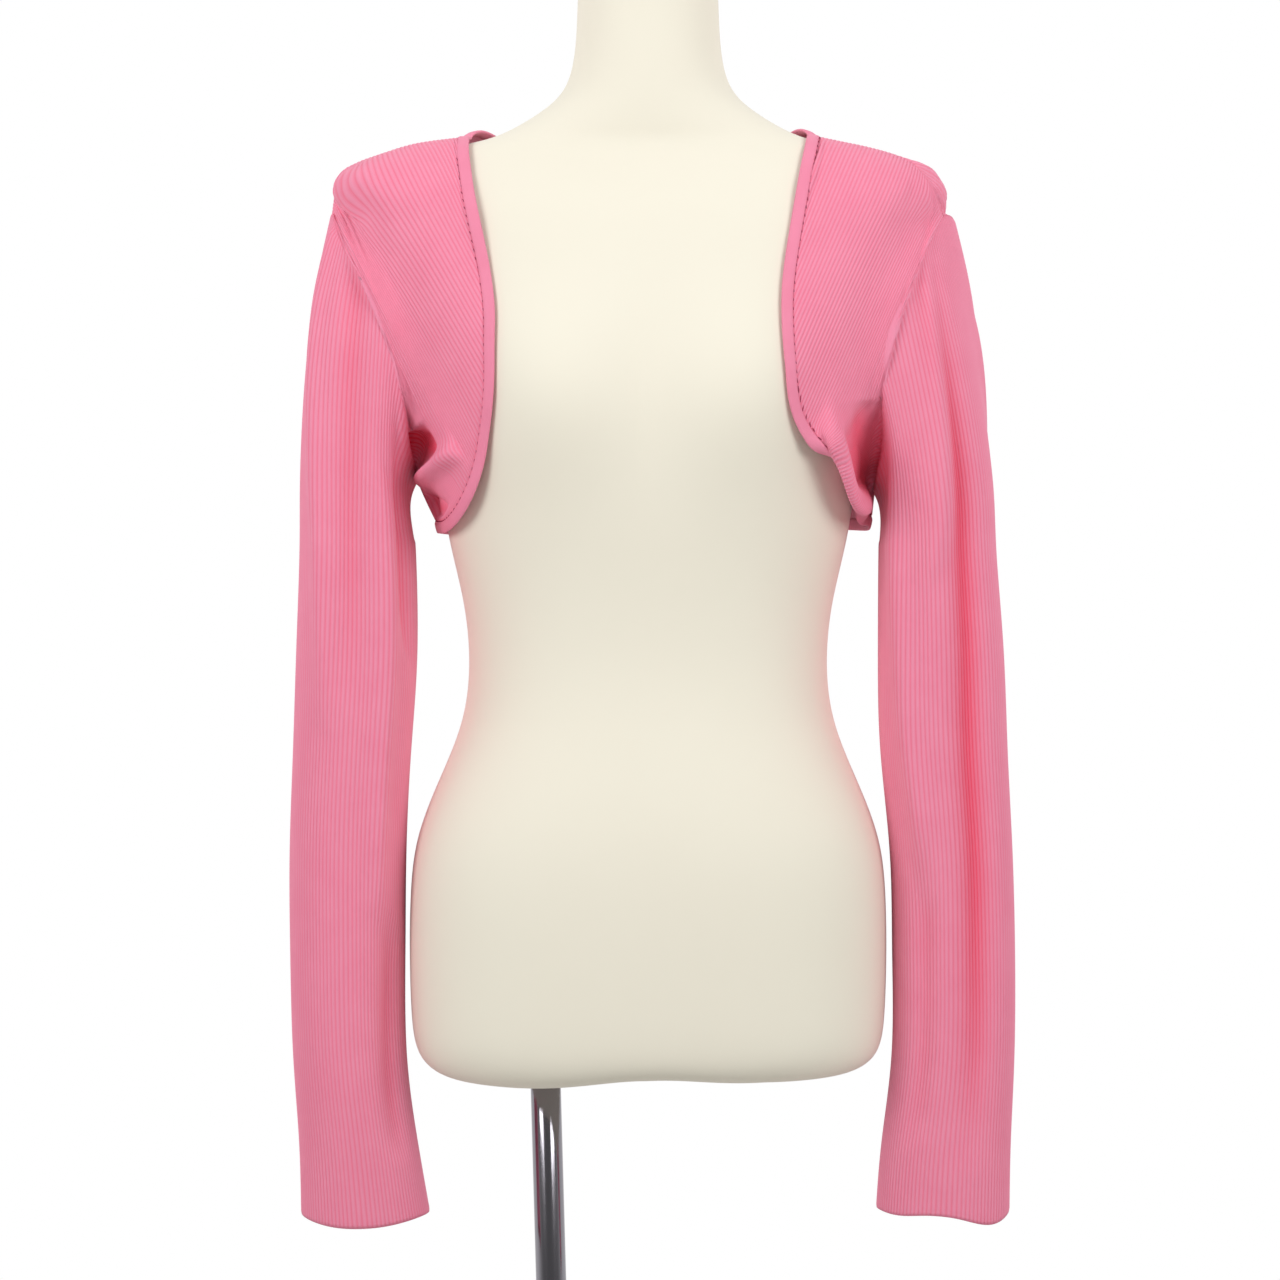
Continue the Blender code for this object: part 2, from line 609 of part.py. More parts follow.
def ribbed_wall(name, net, facing, turn, closed, inner_step):
    """A closed wall: a rib stands between each two columns of its outside, and the inside is plain.

    The inside has one column for every `inner_step` ribs.
    """
    offsets = facing * CLOTH / 2
    outer = with_middles(net + offsets, closed)
    rise = np.full((1, net.shape[1], 1), RIB_RISE)
    rise[:, 0] *= SEAM_RIB_SHARE
    if not closed:
        rise[:, -1] *= SEAM_RIB_SHARE
    outer[1::2] += rise * with_middles(facing, closed)[1::2]
    inner = (net - offsets)[::inner_step]
    columns, rows = outer.shape[:2]
    ribs = 2 * inner_step  # outer columns for each inner one
    inside = columns * rows
    points = np.concatenate([outer.reshape(-1, 3), inner.reshape(-1, 3)])
    faces = []

    def out(column, row):
        return (column % columns) * rows + row

    def inn(column, row):
        return inside + (column % len(inner)) * rows + row

    for column in range(columns if closed else columns - 1):
        for row in range(rows - 1):
            corners = (column, row), (column + 1, row), (column + 1, row + 1), (column, row + 1)
            faces.append([out(*corner) for corner in corners])
    for column in range(len(inner) if closed else len(inner) - 1):
        for row in range(rows - 1):
            corners = (column, row), (column, row + 1), (column + 1, row + 1), (column + 1, row)
            faces.append([inn(*corner) for corner in corners])
        over = range(ribs * column, ribs * column + ribs + 1)
        top = [out(k, 0) for k in reversed(over)]
        end = [out(k, rows - 1) for k in over]
        faces += rim(points, top, inn(column + 1, 0), inn(column, 0))
        faces += rim(points, end, inn(column, rows - 1), inn(column + 1, rows - 1))
    if not closed:
        far, far_inner = columns - 1, len(inner) - 1
        for row in range(rows - 1):
            near_edge = [out(0, row), out(0, row + 1)]
            far_edge = [out(far, row + 1), out(far, row)]
            faces += rim(points, near_edge, inn(0, row), inn(0, row + 1))
            faces += rim(points, far_edge, inn(far_inner, row + 1), inn(far_inner, row))
    if turn < 0:
        faces = [face[::-1] for face in faces]
    add(name, points, faces, "knit")


def band_frame(tree, seam):
    """The band's seam line, as one loop down the right front, under the back and up to the neck.

    It comes with the directions across the band, away from the other pieces, and out of it.
    """
    runs = seam["right", "edge"], seam["hem"], seam["left", "edge"][::-1], seam["neck"][::-1]
    line = np.concatenate([points[:-1] for points in runs])
    along = unit(np.roll(line, -1, axis=0) - np.roll(line, 1, axis=0))
    off_side = np.array([tree.find_nearest(point.tolist())[1] for point in line])
    across = unit(np.cross(off_side, along))
    return line, across, np.cross(along, across)


def band(line, across, outward):
    half, deep = BAND_WIDTH / 2, BAND_THICKNESS / 2
    section = ((-1, -0.8), (0.4, -1), (1, -0.35), (1, 0.35), (0.4, 1), (-1, 0.8))
    rings = [line + across * (SEAM_GAP + half + a * half) + outward * (b * deep) for a, b in section]
    rings = np.stack(rings, axis=1)
    add("edge_band", rings.reshape(-1, 3), ring_faces(*rings.shape[:2], closed=True), "band")


def match_band(facing, outward):
    """Turns the cloth along the band the way that the band faces, so that their edges are parallel."""
    edge, hem = 2 * SHOULDER_RIBS, 2 * SHOULDER_RIBS + NECK_RIBS
    loop = np.concatenate([outward, outward[:1]])
    facing["front_right"][:, -1] = loop[: edge + 1]
    facing["back"][:, -1] = loop[edge : edge + hem + 1]
    facing["front_left"][:, -1] = loop[edge + hem : 2 * edge + hem + 1][::-1]
    facing["back"][SHOULDER_RIBS : SHOULDER_RIBS + NECK_RIBS + 1, 0] = loop[2 * edge + hem :][::-1]
    for front in ("front_right", "front_left"):
        shoulder = facing["back"][SHOULDER_RIBS if front == "front_right" else -SHOULDER_RIBS - 1, 0]
        facing[front][0, 0] = shoulder
        facing[front][0] = np.linspace(shoulder, facing[front][0, -1], facing[front].shape[1])


def garment():
    tree = draping_tree()
    seam = seams(tree)
    nets = {"back": back_net(tree, seam)}
    turn, size, rows = {"back": 1}, {"back": BACK_SIZE}, {"back": BACK_FOLDS}
    for side in SIDE:
        front, sleeve = f"front_{side}", f"sleeve_{side}"
        nets[front], nets[sleeve] = front_net(tree, seam, side), sleeve_net(seam, side)
        turn[front] = turn[sleeve] = -SIDE[side]
        size[front], size[sleeve] = FRONT_SIZE, SLEEVE_SIZE
        rows[front], rows[sleeve] = FRONT_FOLDS[side], SLEEVE_FOLDS[side]
    closed = {name: name.startswith("sleeve") for name in nets}
    facing = {name: directions(net, turn[name], closed[name]) for name, net in nets.items()}
    share_directions(nets, facing)
    line, across, outward = band_frame(tree, seam)
    match_band(facing, outward)
    for side in SIDE:
        for edge in (facing[f"front_{side}"][:, 0], facing[f"sleeve_{side}"][:, 0]):
            means = (edge[::2] + np.roll(edge[::2], -1, axis=0)) / 2
            edge[1::2] = means[: len(edge[1::2])]
    for name, net in nets.items():
        settled, own = folded(
            tree, net, facing[name], rows[name], size[name], turn[name], closed[name]
        )
        inner_step = SLEEVE_INNER_STEP if closed[name] else 1
        net = trimmed(settled, own, closed[name])
        ribbed_wall(name, net, own, turn[name], closed[name], inner_step)
    band(line, across, outward)


# ---------------------------------------------------------------- objects


def material(slot):
    made = bpy.data.materials.get(slot)
    if made is None:
        colour, roughness, metallic = COLOURS[slot]
        made = bpy.data.materials.new(slot)
        made.use_nodes = True
        shader = made.node_tree.nodes["Principled BSDF"]
        shader.inputs["Base Color"].default_value = colour
        shader.inputs["Roughness"].default_value = roughness
        shader.inputs["Metallic"].default_value = metallic
    return made


def add(name, points, faces, slot):
    mesh = bpy.data.meshes.new(name)
    mesh.from_pydata(np.asarray(points).tolist(), [], faces)
    mesh.materials.append(material(slot))
    mesh.shade_smooth()
    made = bpy.data.objects.new(name, mesh)
    bpy.context.scene.collection.objects.link(made)
    return made


def pole_x(z):
    return POLE_TOP_X + (POLE_TOP_Z - z) * tan(POLE_LEAN)


def leaning_bar(name, radius, low, high, slot, bore=0.0, columns=32):
    """A round bar, or a tube with a bore, on the pole's leaning axis and with level ends."""
    turn = np.linspace(0, 2 * pi, columns, endpoint=False)
    circle = np.stack([np.cos(turn), np.sin(turn), 0 * turn], axis=1)

    def ring(size, z):
        return circle * size + (pole_x(z), 0, z)

    if not bore:
        rings = [ring(radius, low), ring(radius, high)]
        faces = ring_faces(2, columns)
        faces += [list(range(columns))[::-1], list(range(columns, 2 * columns))]
        return add(name, np.concatenate(rings), faces, slot)
    rings = [ring(radius, low), ring(radius, high), ring(bore, high), ring(bore, low)]
    return add(name, np.concatenate(rings), ring_faces(4, columns, closed=True), slot)


def cut(body, cutter):
    cutter.hide_render = True
    cutter.display_type = "WIRE"
    hole = body.modifiers.new("bore", "BOOLEAN")
    hole.operation = "DIFFERENCE"
    hole.object = cutter
    hole.solver = "EXACT"


def stand():
    """Dress form with its socket, pole, collar and round base plate."""
    points, faces = form_mesh(rows=31, columns=32)
    form = add("dress_form", points, faces, "jersey")
    socket_top = POLE_TOP_Z + SOCKET_DEPTH
    bore = POLE_RADIUS + SOCKET_CLEARANCE
    cut(form, leaning_bar("socket_cutter", bore, POLE_TOP_Z - 60 * MM, socket_top, "chrome"))

    plate_top = BASE_THICKNESS
    foot = plate_top + SEAM_GAP
    leaning_bar(
        "pole",
        POLE_RADIUS,
        foot,
        socket_top - SEAM_GAP,
        "chrome",
        bore=POLE_RADIUS - POLE_WALL,
    )
    collar_top = foot + COLLAR_HEIGHT
    collar = leaning_bar("pole_collar", COLLAR_RADIUS, foot, collar_top, "chrome", columns=40)
    cut(collar, leaning_bar("collar_cutter", bore, foot - 5 * MM, collar_top + 5 * MM, "chrome"))

    columns = 64
    turn = np.linspace(0, 2 * pi, columns, endpoint=False)
    profile = [(BASE_RADIUS - BASE_EDGE / 3, 0), (BASE_RADIUS, BASE_EDGE / 3)]
    profile += [(BASE_RADIUS, plate_top - BASE_EDGE), (BASE_RADIUS - BASE_EDGE, plate_top)]
    rings = [np.stack([r * np.cos(turn), r * np.sin(turn), 0 * turn + z], axis=1) for r, z in profile]
    faces = ring_faces(len(rings), columns)
    top = (len(rings) - 1) * columns
    faces += [list(range(columns))[::-1], list(range(top, top + columns))]
    add("base_plate", np.concatenate(rings), faces, "chrome")


def main():
    for item in list(bpy.data.objects):
        bpy.data.objects.remove(item)
    stand()
    garment()


main()
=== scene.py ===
# %% [markdown]
# # A cropped cardigan in fine rib knit, on a dress form
#
# The garment is an open bolero: a back, two short fronts and two long sleeves in narrow ribs,
# edged by one plain band. It has no buttons. It hangs on a limbless form that stands on a pole.
#
# Every piece of cloth here is a net of points between its seams. Neighbours share their seam
# lines, so the nets join without gaps. The nets are drawn tight over the form like real knit,
# then read at a much finer spacing, folded, and given a rib every 2.5 mm.
#
# Lengths are in metres and +Z is up. The front faces -Y, and "right" is the wearer's right, at -X.

from collections import namedtuple
from math import cos, pi, radians, sin, tan

import bpy
import numpy as np
from mathutils.bvhtree import BVHTree
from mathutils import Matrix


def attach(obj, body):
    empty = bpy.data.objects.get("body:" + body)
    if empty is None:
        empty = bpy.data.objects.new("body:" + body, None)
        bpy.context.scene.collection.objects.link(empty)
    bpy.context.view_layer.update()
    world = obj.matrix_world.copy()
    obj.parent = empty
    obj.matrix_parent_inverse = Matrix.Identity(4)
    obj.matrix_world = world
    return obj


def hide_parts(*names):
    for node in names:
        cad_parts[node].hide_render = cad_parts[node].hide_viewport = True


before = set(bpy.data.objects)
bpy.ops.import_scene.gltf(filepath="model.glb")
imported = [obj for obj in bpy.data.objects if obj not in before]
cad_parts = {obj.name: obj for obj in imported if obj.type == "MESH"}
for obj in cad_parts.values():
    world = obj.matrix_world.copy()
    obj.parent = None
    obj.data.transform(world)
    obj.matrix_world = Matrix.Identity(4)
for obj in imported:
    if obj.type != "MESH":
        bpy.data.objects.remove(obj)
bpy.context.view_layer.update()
MM = 0.001
print("nodes:", sorted(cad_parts))

# %% [markdown]
# ## Camera
#
# The picture was taken level with the waist from about two and a half metres. At that distance
# the frame is 845 mm wide at the form's middle, which gives the lens. The form's middle stands a
# few millimetres to the side of the picture's.

# %% Camera
CAMERA_DISTANCE, CAMERA_X, CAMERA_HEIGHT = 2.5, -5.3 * MM, 1013 * MM
FRAME_WIDTH, SENSOR_WIDTH, FARTHEST_SEEN = 0.845, 36, 60
lens = bpy.data.cameras.new("camera")
lens.sensor_width = SENSOR_WIDTH
lens.lens = lens.sensor_width * CAMERA_DISTANCE / FRAME_WIDTH
lens.clip_end = FARTHEST_SEEN
camera = bpy.data.objects.new("camera", lens)
camera.location = (CAMERA_X, -CAMERA_DISTANCE, CAMERA_HEIGHT)
camera.rotation_euler = (radians(90), 0, 0)
bpy.context.scene.collection.objects.link(camera)
bpy.context.scene.camera = camera
print("lens in mm:", round(lens.lens, 1))

# %% [markdown]
# ## Smooth curves through short tables
#
# A few given rows are enough for a form or a seam when a smooth curve joins them. A uniform
# cubic B-spline has no kinks, and solving for its coefficients makes it pass through every row.

# %% Curves
STEPS_PER_KNOT = 40  # how finely a curve is read before it is parted into equal lengths


def read(knots, at, closed=False):
    """The smooth curve through the knots, read at the places `at`, counted in knots.

    Each place takes four coefficients with weights (1-t)^3/6, (3t^3-6t^2+4)/6,
    (-3t^3+3t^2+3t+1)/6 and t^3/6. The coefficients solve c[k-1]/6 + 4 c[k]/6 + c[k+1]/6 = knot k.
    """
    knots = np.asarray(knots, float)
    shape, at = knots.shape[1:], np.asarray(at, float)
    knots = knots.reshape(len(knots), -1)
    count, extra = len(knots), 0 if closed else 1
    size = count + 2 * extra
    through = np.zeros((size, size))
    rows = np.arange(count) + extra
    for step, weight in ((-1, 1 / 6), (0, 4 / 6), (1, 1 / 6)):
        through[rows, (rows + step) % size] += weight
    wanted = np.zeros((size, knots.shape[1]))
    wanted[rows] = knots
    if not closed:
        through[0, :3] = through[-1, -3:] = (1, -2, 1)
    coefficients = np.linalg.solve(through, wanted)
    whole = np.floor(at).astype(int)
    if not closed:
        whole = np.clip(whole, 0, count - 2)
    t = (at - whole)[:, None]
    weights = (
        (1 - t) ** 3 / 6,
        (3 * t**3 - 6 * t**2 + 4) / 6,
        (-3 * t**3 + 3 * t**2 + 3 * t + 1) / 6,
        t**3 / 6,
    )
    picked = [(whole + step + extra) % size for step in (-1, 0, 1, 2)]
    read_out = sum(w * coefficients[index] for w, index in zip(weights, picked))
    return read_out.reshape((len(at),) + shape)


def lengths(line):
    """Distance from the first point to each point of a polyline, as a running sum of its steps."""
    steps = np.linalg.norm(np.diff(line, axis=0), axis=-1)
    return np.concatenate([np.zeros((1,) + steps.shape[1:]), np.cumsum(steps, axis=0)])


def along(line, at):
    """Points of a polyline at the given shares of its length."""
    far = lengths(line)
    return np.stack([np.interp(np.asarray(at) * far[-1], far, line[:, k]) for k in range(3)], axis=1)


def spread(knots, count, first=0, last=None, closed=False):
    """Points that part the smooth curve from knot `first` to knot `last` into equal lengths."""
    last = len(knots) - 1 if last is None else last
    fine = read(knots, np.linspace(first, last, STEPS_PER_KNOT * (last - first) + 1), closed)
    return along(fine, np.linspace(0, 1, count + 1))


def unit(vectors):
    """Vectors divided by their own lengths."""
    return vectors / np.maximum(np.linalg.norm(vectors, axis=-1, keepdims=True), 1e-9)


def smooth_step(x):
    """Rises from 0 to 1 as 3x^2 - 2x^3."""
    x = np.clip(x, 0, 1)
    return x * x * (3 - 2 * x)


print("a curve through 0, 1 and 4, read midway between them:", read([0, 1, 4], [0.5, 1.5]).round(2))

# %% [markdown]
# ## Meshes from grids
#
# One function puts a whole array of points into a mesh. A tube's rings close on themselves, and
# the UV map holds real millimetres, so that a stitch drawn on it has its true size.

# %% Mesh helpers


def grid_faces(columns, rows, closed=False, rows_closed=False):
    """Quads of a grid whose points are numbered column by column, closed either way if asked."""
    column_range = np.arange(columns if closed else columns - 1)
    row_range = np.arange(rows if rows_closed else rows - 1)
    column, row = np.meshgrid(column_range, row_range, indexing="ij")
    after, below = (column + 1) % columns, (row + 1) % rows
    corners = (column * rows + row, after * rows + row, after * rows + below, column * rows + below)
    return np.stack(corners, axis=-1).reshape(-1, 4)


def flipped(quads):
    """The same quads, each started at its own first corner and run the other way."""
    return quads[:, [0, 3, 2, 1]]


def make(name, points, faces, uv=None):
    """A mesh object from arrays of points and faces, with millimetres in its UV map."""
    mesh = bpy.data.meshes.new(name)
    mesh.from_pydata(np.asarray(points).tolist(), [], faces)
    if uv is not None:
        layer = mesh.uv_layers.new(name="millimetres")
        loops = np.empty(len(mesh.loops), np.int32)
        mesh.loops.foreach_get("vertex_index", loops)
        layer.data.foreach_set("uv", uv[loops].astype(np.float32).ravel())
    mesh.shade_smooth()
    made = bpy.data.objects.new(name, mesh)
    bpy.context.scene.collection.objects.link(made)
    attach(made, "root")
    print(name, "triangles:", sum(len(face) - 2 for face in faces))
    return made


print("quads of a closed grid of 4 x 3 points:", len(grid_faces(4, 3, closed=True)))

# %% [markdown]
# ## The dress form
#
# The form is a hard shell, padded and covered with a stretched jersey. Its rings are flattened
# ovals, and the table gives one row for each height. The bust is two soft swells, and the
# underside arches a little between the thighs. It could be sculpted, but a table keeps every
# width and depth in view, as a tailor's tape would.

# %% Dress form
FormRow = namedtuple("FormRow", "z half_width front back square")
FORM = [
    FormRow(722, 108, 62, 70, 2.4),
    FormRow(726, 130, 78, 88, 2.4),
    FormRow(734, 145, 87, 99, 2.4),
    FormRow(748, 153, 92, 108, 2.4),
    FormRow(772, 156, 95, 114, 2.35),
    FormRow(806, 157, 97, 117, 2.3),
    FormRow(842, 156.5, 98, 116, 2.3),
    FormRow(881, 152, 96, 106, 2.3),
    FormRow(920, 138, 89, 87, 2.25),
    FormRow(957, 123.5, 81, 72, 2.2),
    FormRow(995, 118, 77, 66, 2.2),
    FormRow(1037, 121.5, 80, 70, 2.2),
    FormRow(1080, 131, 87, 80, 2.2),
    FormRow(1125, 138, 92, 90, 2.25),
    FormRow(1172, 146, 92, 96, 2.3),
    FormRow(1220, 158, 86, 97, 2.4),
    FormRow(1258, 171, 78, 93, 2.5),
    FormRow(1286, 182, 69, 85, 2.6),
    FormRow(1304, 189, 60, 75, 2.5),
    FormRow(1316, 186, 53, 66, 2.4),
    FormRow(1326, 172, 47, 58, 2.3),
    FormRow(1334, 146, 43, 52, 2.3),
    FormRow(1341, 113, 42, 50, 2.2),
    FormRow(1349, 91, 43, 49, 2.1),
    FormRow(1361, 71, 44, 48, 2.0),
    FormRow(1379, 54, 44, 47, 2.0),
    FormRow(1410, 47.5, 43, 46, 2.0),
    FormRow(1440, 46, 42, 45, 2.0),
    FormRow(1447, 43, 39, 42, 2.0),
]
BUST_X, BUST_Z, BUST_RISE, BUST_SPREAD = 76 * MM, 1172 * MM, 24 * MM, 44 * MM
THIGH_ARCH, THIGH_ARCH_SPREAD, THIGH_FADE_Z = 7 * MM, 50 * MM, 765 * MM
LEFT_THIGH_X, LEFT_THIGH_LIFT = 76 * MM, 4 * MM


def oval(turn, square):
    """Sides of a flattened oval: the cosine and sine, each raised to the power 2 / square."""
    across, deep = np.cos(turn), np.sin(turn)
    across = np.sign(across) * np.abs(across) ** (2 / square)
    return across, np.sign(deep) * np.abs(deep) ** (2 / square)


def form_surface(columns, rows):
    """Points [column, row]: x = half width times the oval's cosine, y = depth times its sine.

    Each bust adds a bell to the front, and the lowest rings rise by a bell between the thighs.
    """
    table = read(FORM, np.linspace(0, len(FORM) - 1, rows))
    z, half_width, front, back, square = (table[None, :, k] for k in range(5))
    across, deep = oval(np.linspace(0, 2 * pi, columns, endpoint=False)[:, None], square)
    x = MM * half_width * across
    y = MM * np.where(deep < 0, front, back) * deep
    z = MM * z + 0 * x
    bust = np.exp(-((np.abs(x) - BUST_X) ** 2 + (z - BUST_Z) ** 2) / (2 * BUST_SPREAD**2))
    y = y - BUST_RISE * bust * np.clip(-deep, 0, 1) ** 2
    low = np.clip((THIGH_FADE_Z - z) / (THIGH_FADE_Z - FORM[0].z * MM), 0, 1) ** 2
    arch = THIGH_ARCH * np.exp(-((x / THIGH_ARCH_SPREAD) ** 2))
    z = z + low * (arch + LEFT_THIGH_LIFT * np.clip(x / LEFT_THIGH_X, 0, 1))
    return np.stack([x, y, z], axis=2)


def capped(points):
    """A tube of points [column, row] as flat lists, each end closed by a fan to its middle."""
    columns, rows = points.shape[:2]
    faces = grid_faces(columns, rows, closed=True).tolist()
    foot, top = columns * rows, columns * rows + 1
    near = np.arange(columns) * rows
    after = np.roll(near, -1)
    faces += np.stack([np.full(columns, foot), after, near], axis=1).tolist()
    faces += np.stack([np.full(columns, top), near + rows - 1, after + rows - 1], axis=1).tolist()
    ends = [points[:, 0].mean(axis=0), points[:, -1].mean(axis=0)]
    return np.concatenate([points.reshape(-1, 3), ends]), faces


form_points, form_faces = capped(form_surface(columns=180, rows=260))
form = make("form_jersey", form_points, form_faces)
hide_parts("dress_form")

# %% [markdown]
# ## A form for draping
#
# Cloth bridges hollows and stands off corners. The nets are laid over a coarser copy of the form
# that is a little wider at both shoulder tips and a little higher at the right one, because the
# cardigan's shoulders stand off the form there. The cloth also hangs a few millimetres to the
# wearer's right, so the copy's shoulders are shifted that way.

# %% Draping form
SHOULDER_EASE, EASE_Z, EASE_SPREAD = 11 * MM, 1303 * MM, 19 * MM
SHOULDER_LIFT, LIFT_FROM_X, LIFT_TO_X = 4 * MM, 100 * MM, 150 * MM
CLOTH_SHIFT = -5 * MM
NET_GAP, FOLD_GAP = 2.6 * MM, 1.6 * MM  # the least room between form and net, and under a fold


def draping_tree():
    """The form pushed out at the shoulders by a bell over height, and lifted at the right tip."""
    points, faces = capped(form_surface(columns=96, rows=90))
    near = np.exp(-(((points[:, 2] - EASE_Z) / EASE_SPREAD) ** 2))
    outwards = points[:, 0] / np.abs(points[:, 0]).max()
    tip = np.clip((np.abs(points[:, 0]) - LIFT_FROM_X) / (LIFT_TO_X - LIFT_FROM_X), 0, 1)
    high = np.clip((points[:, 2] - EASE_Z) / EASE_SPREAD + 1, 0, 1)
    points[:, 0] += near * (SHOULDER_EASE * outwards + CLOTH_SHIFT)
    points[:, 2] += high * tip * SHOULDER_LIFT * (points[:, 0] < 0)
    return BVHTree.FromPolygons(points.tolist(), faces)


def nearest(tree, points):
    """The nearest places on the form, and the form's directions there, for a list of points."""
    found = [tree.find_nearest(point)[:2] for point in points.tolist()]
    return np.array([place for place, _ in found]), np.array([way for _, way in found])


def off_form(points, gap=NET_GAP, hug=0.0):
    """Moves points out to clear the form by the gap. With hug 1 they lie on it at the gap."""
    flat = np.asarray(points, float).reshape(-1, 3)
    place, way = nearest(drape, flat)
    on_form = place + way * gap
    inside = ((flat - place) * way).sum(axis=1) < gap
    hugs = np.where(inside, 1.0, np.broadcast_to(hug, np.shape(points)[:-1]).ravel())
    return (flat + hugs[:, None] * (on_form - flat)).reshape(np.shape(points))


drape = draping_tree()
tip = nearest(drape, np.array([[1, 0, EASE_Z]]))[0][0]
print("draping form's half width at the left shoulder tip in mm:", round(tip[0] / MM, 1))

# %% [markdown]
# ## Seam lines
#
# A garment is drawn by its seams. Each table runs along one seam, with a row where its direction
# changes. `hug` is 1 where the cloth lies on the form and 0 where it hangs free of it. On the
# wearer's left the edge rolls under near the armhole, so its band lies tucked behind the roll.

# %% Seam tables
Station = namedtuple("Station", "x y z hug")
ARMHOLE = {  # from the underarm up the front to the sleeve head, and down the back
    "right": [
        Station(-153, 12, 1119, 0),
        Station(-155, -20, 1136, 0),
        Station(-157, -40, 1154, 0),
        Station(-161, -50, 1180, 0),
        Station(-169, -54, 1212, 0),
        Station(-184, -48, 1245, 0),
        Station(-198, -33, 1269, 0),
        Station(-205, -17, 1287, 0),
        Station(-208.5, 2, 1295, 0),
        Station(-206, 34, 1281, 0),
        Station(-194, 58, 1248, 0),
        Station(-180, 68, 1212, 0),
        Station(-168, 62, 1174, 0),
        Station(-158, 40, 1140, 0),
    ],
    "left": [
        Station(149, 12, 1113, 0),
        Station(151, -20, 1127, 0),
        Station(154, -42, 1148, 0),
        Station(151, -57, 1173, 0),
        Station(151, -61, 1194, 0),
        Station(157, -60, 1218, 0),
        Station(169, -53, 1241, 0),
        Station(180, -40, 1267, 0),
        Station(193.5, -17, 1291, 0),
        Station(202, 4, 1291, 0),
        Station(200, 34, 1277, 0),
        Station(188, 57, 1246, 0),
        Station(175, 66, 1210, 0),
        Station(163, 60, 1172, 0),
        Station(153, 40, 1136, 0),
    ],
}
ARMHOLE_HEAD = 8  # the station at the sleeve head, where the shoulder seam ends
SHOULDER_SEAM = {  # between the neck point and the sleeve head
    "right": [
        Station(-150, 6, 1341, 0),
        Station(-178, 8, 1334, 0),
        Station(-199, 8, 1325.5, 0),
        Station(-206.5, 6, 1312, 0),
    ],
    "left": [
        Station(140, -6, 1338, 0),
        Station(168.5, -15, 1328.5, 0),
        Station(182, -26, 1311, 0),
    ],
}
FRONT_EDGE = {  # where the band joins the front, from the neck point to the side seam
    "right": [
        Station(-124.5, 2, 1344.5, 1),
        Station(-119.5, -45, 1300, 1),
        Station(-112.5, -80, 1257, 1),
        Station(-112, -93, 1221, 1),
        Station(-114, -97, 1177, 1),
        Station(-115.5, -92, 1154, 0.95),
        Station(-118, -84, 1131, 0.85),
        Station(-122.5, -73, 1110, 0.6),
        Station(-127, -54, 1097, 0.3),
        Station(-133, -28, 1091, 0.1),
        Station(-140, 8, 1091.5, 0),
    ],
    "left": [
        Station(113, 0, 1344, 1),
        Station(105.5, -38, 1314, 1),
        Station(98, -70, 1273.5, 1),
        Station(95.5, -90, 1236, 1),
        Station(97.5, -102, 1203.5, 1),
        Station(103, -106, 1178, 1),
        Station(110.5, -102, 1151.5, 0.9),
        Station(123.5, -85, 1130, 0.5),
        Station(130, -70, 1114.5, 0.2),
        Station(133, -50, 1102, 0.1),
        Station(137, -22, 1097, 0),
        Station(146, 8, 1096.5, 0),
    ],
}
NECK_EDGE = [  # round the back of the neck, from the right neck point to the left one
    Station(-107, 28, 1346, 0),
    Station(-62, 74, 1322, 1),
    Station(0, 84, 1315, 1),
    Station(56, 74, 1322, 1),
    Station(98, 28, 1346, 0),
]
HEM_EDGE = [  # under the back, from the right side seam to the left one
    Station(-139, 40, 1092, 0),
    Station(-121, 72, 1091, 0),
    Station(-70, 94, 1088, 0),
    Station(0, 99, 1086, 0),
    Station(70, 94, 1089, 0),
    Station(123, 72, 1095, 0),
    Station(147, 36, 1094, 0),
]
SIDE = {"right": -1, "left": 1}
print("stations round the armholes:", {side: len(rows) for side, rows in ARMHOLE.items()})

# %% Seam points
ARM_ROWS, SHOULDER_SPANS, NECK_SPANS, EDGE_SPANS = 11, 20, 26, 60
HEM_SPANS = SHOULDER_SPANS + NECK_SPANS


def stations(rows):
    """The rows of a seam table as points, drawn onto the form as far as each row's `hug`."""
    points = np.array([row[:3] for row in rows]) * MM
    return off_form(points, hug=np.array([row.hug for row in rows]))


def seam_lines():
    """The points of every seam, as name -> points. Pieces that meet share them."""
    found = {}
    for side in SIDE:
        hole = stations(ARMHOLE[side])
        found[side, "front_arm"] = off_form(spread(hole, ARM_ROWS, 0, ARMHOLE_HEAD, closed=True))
        back_arm = off_form(spread(hole, ARM_ROWS, ARMHOLE_HEAD, len(hole), closed=True))
        back_arm[0], back_arm[-1] = found[side, "front_arm"][[-1, 0]]
        found[side, "back_arm"] = back_arm
        found[side, "edge"] = off_form(spread(stations(FRONT_EDGE[side]), EDGE_SPANS))
        neck_point, head = found[side, "edge"][0], back_arm[0]
        shoulder = np.stack([neck_point, *stations(SHOULDER_SEAM[side]), head])
        shoulder = off_form(spread(shoulder, SHOULDER_SPANS))
        shoulder[0], shoulder[-1] = neck_point, head
        found[side, "shoulder"] = shoulder
    behind = (("neck", NECK_EDGE, NECK_SPANS, 0), ("hem", HEM_EDGE, HEM_SPANS, -1))
    for name, rows, count, end in behind:
        first, last = found["right", "edge"][end], found["left", "edge"][end]
        found[name] = off_form(spread(np.stack([first, *stations(rows), last]), count))
        found[name][0], found[name][-1] = first, last
    return found


seam = seam_lines()
for key in (("left", "shoulder"), ("left", "edge"), "hem"):
    print("seam", key, "length in mm:", round(lengths(seam[key])[-1] / MM))

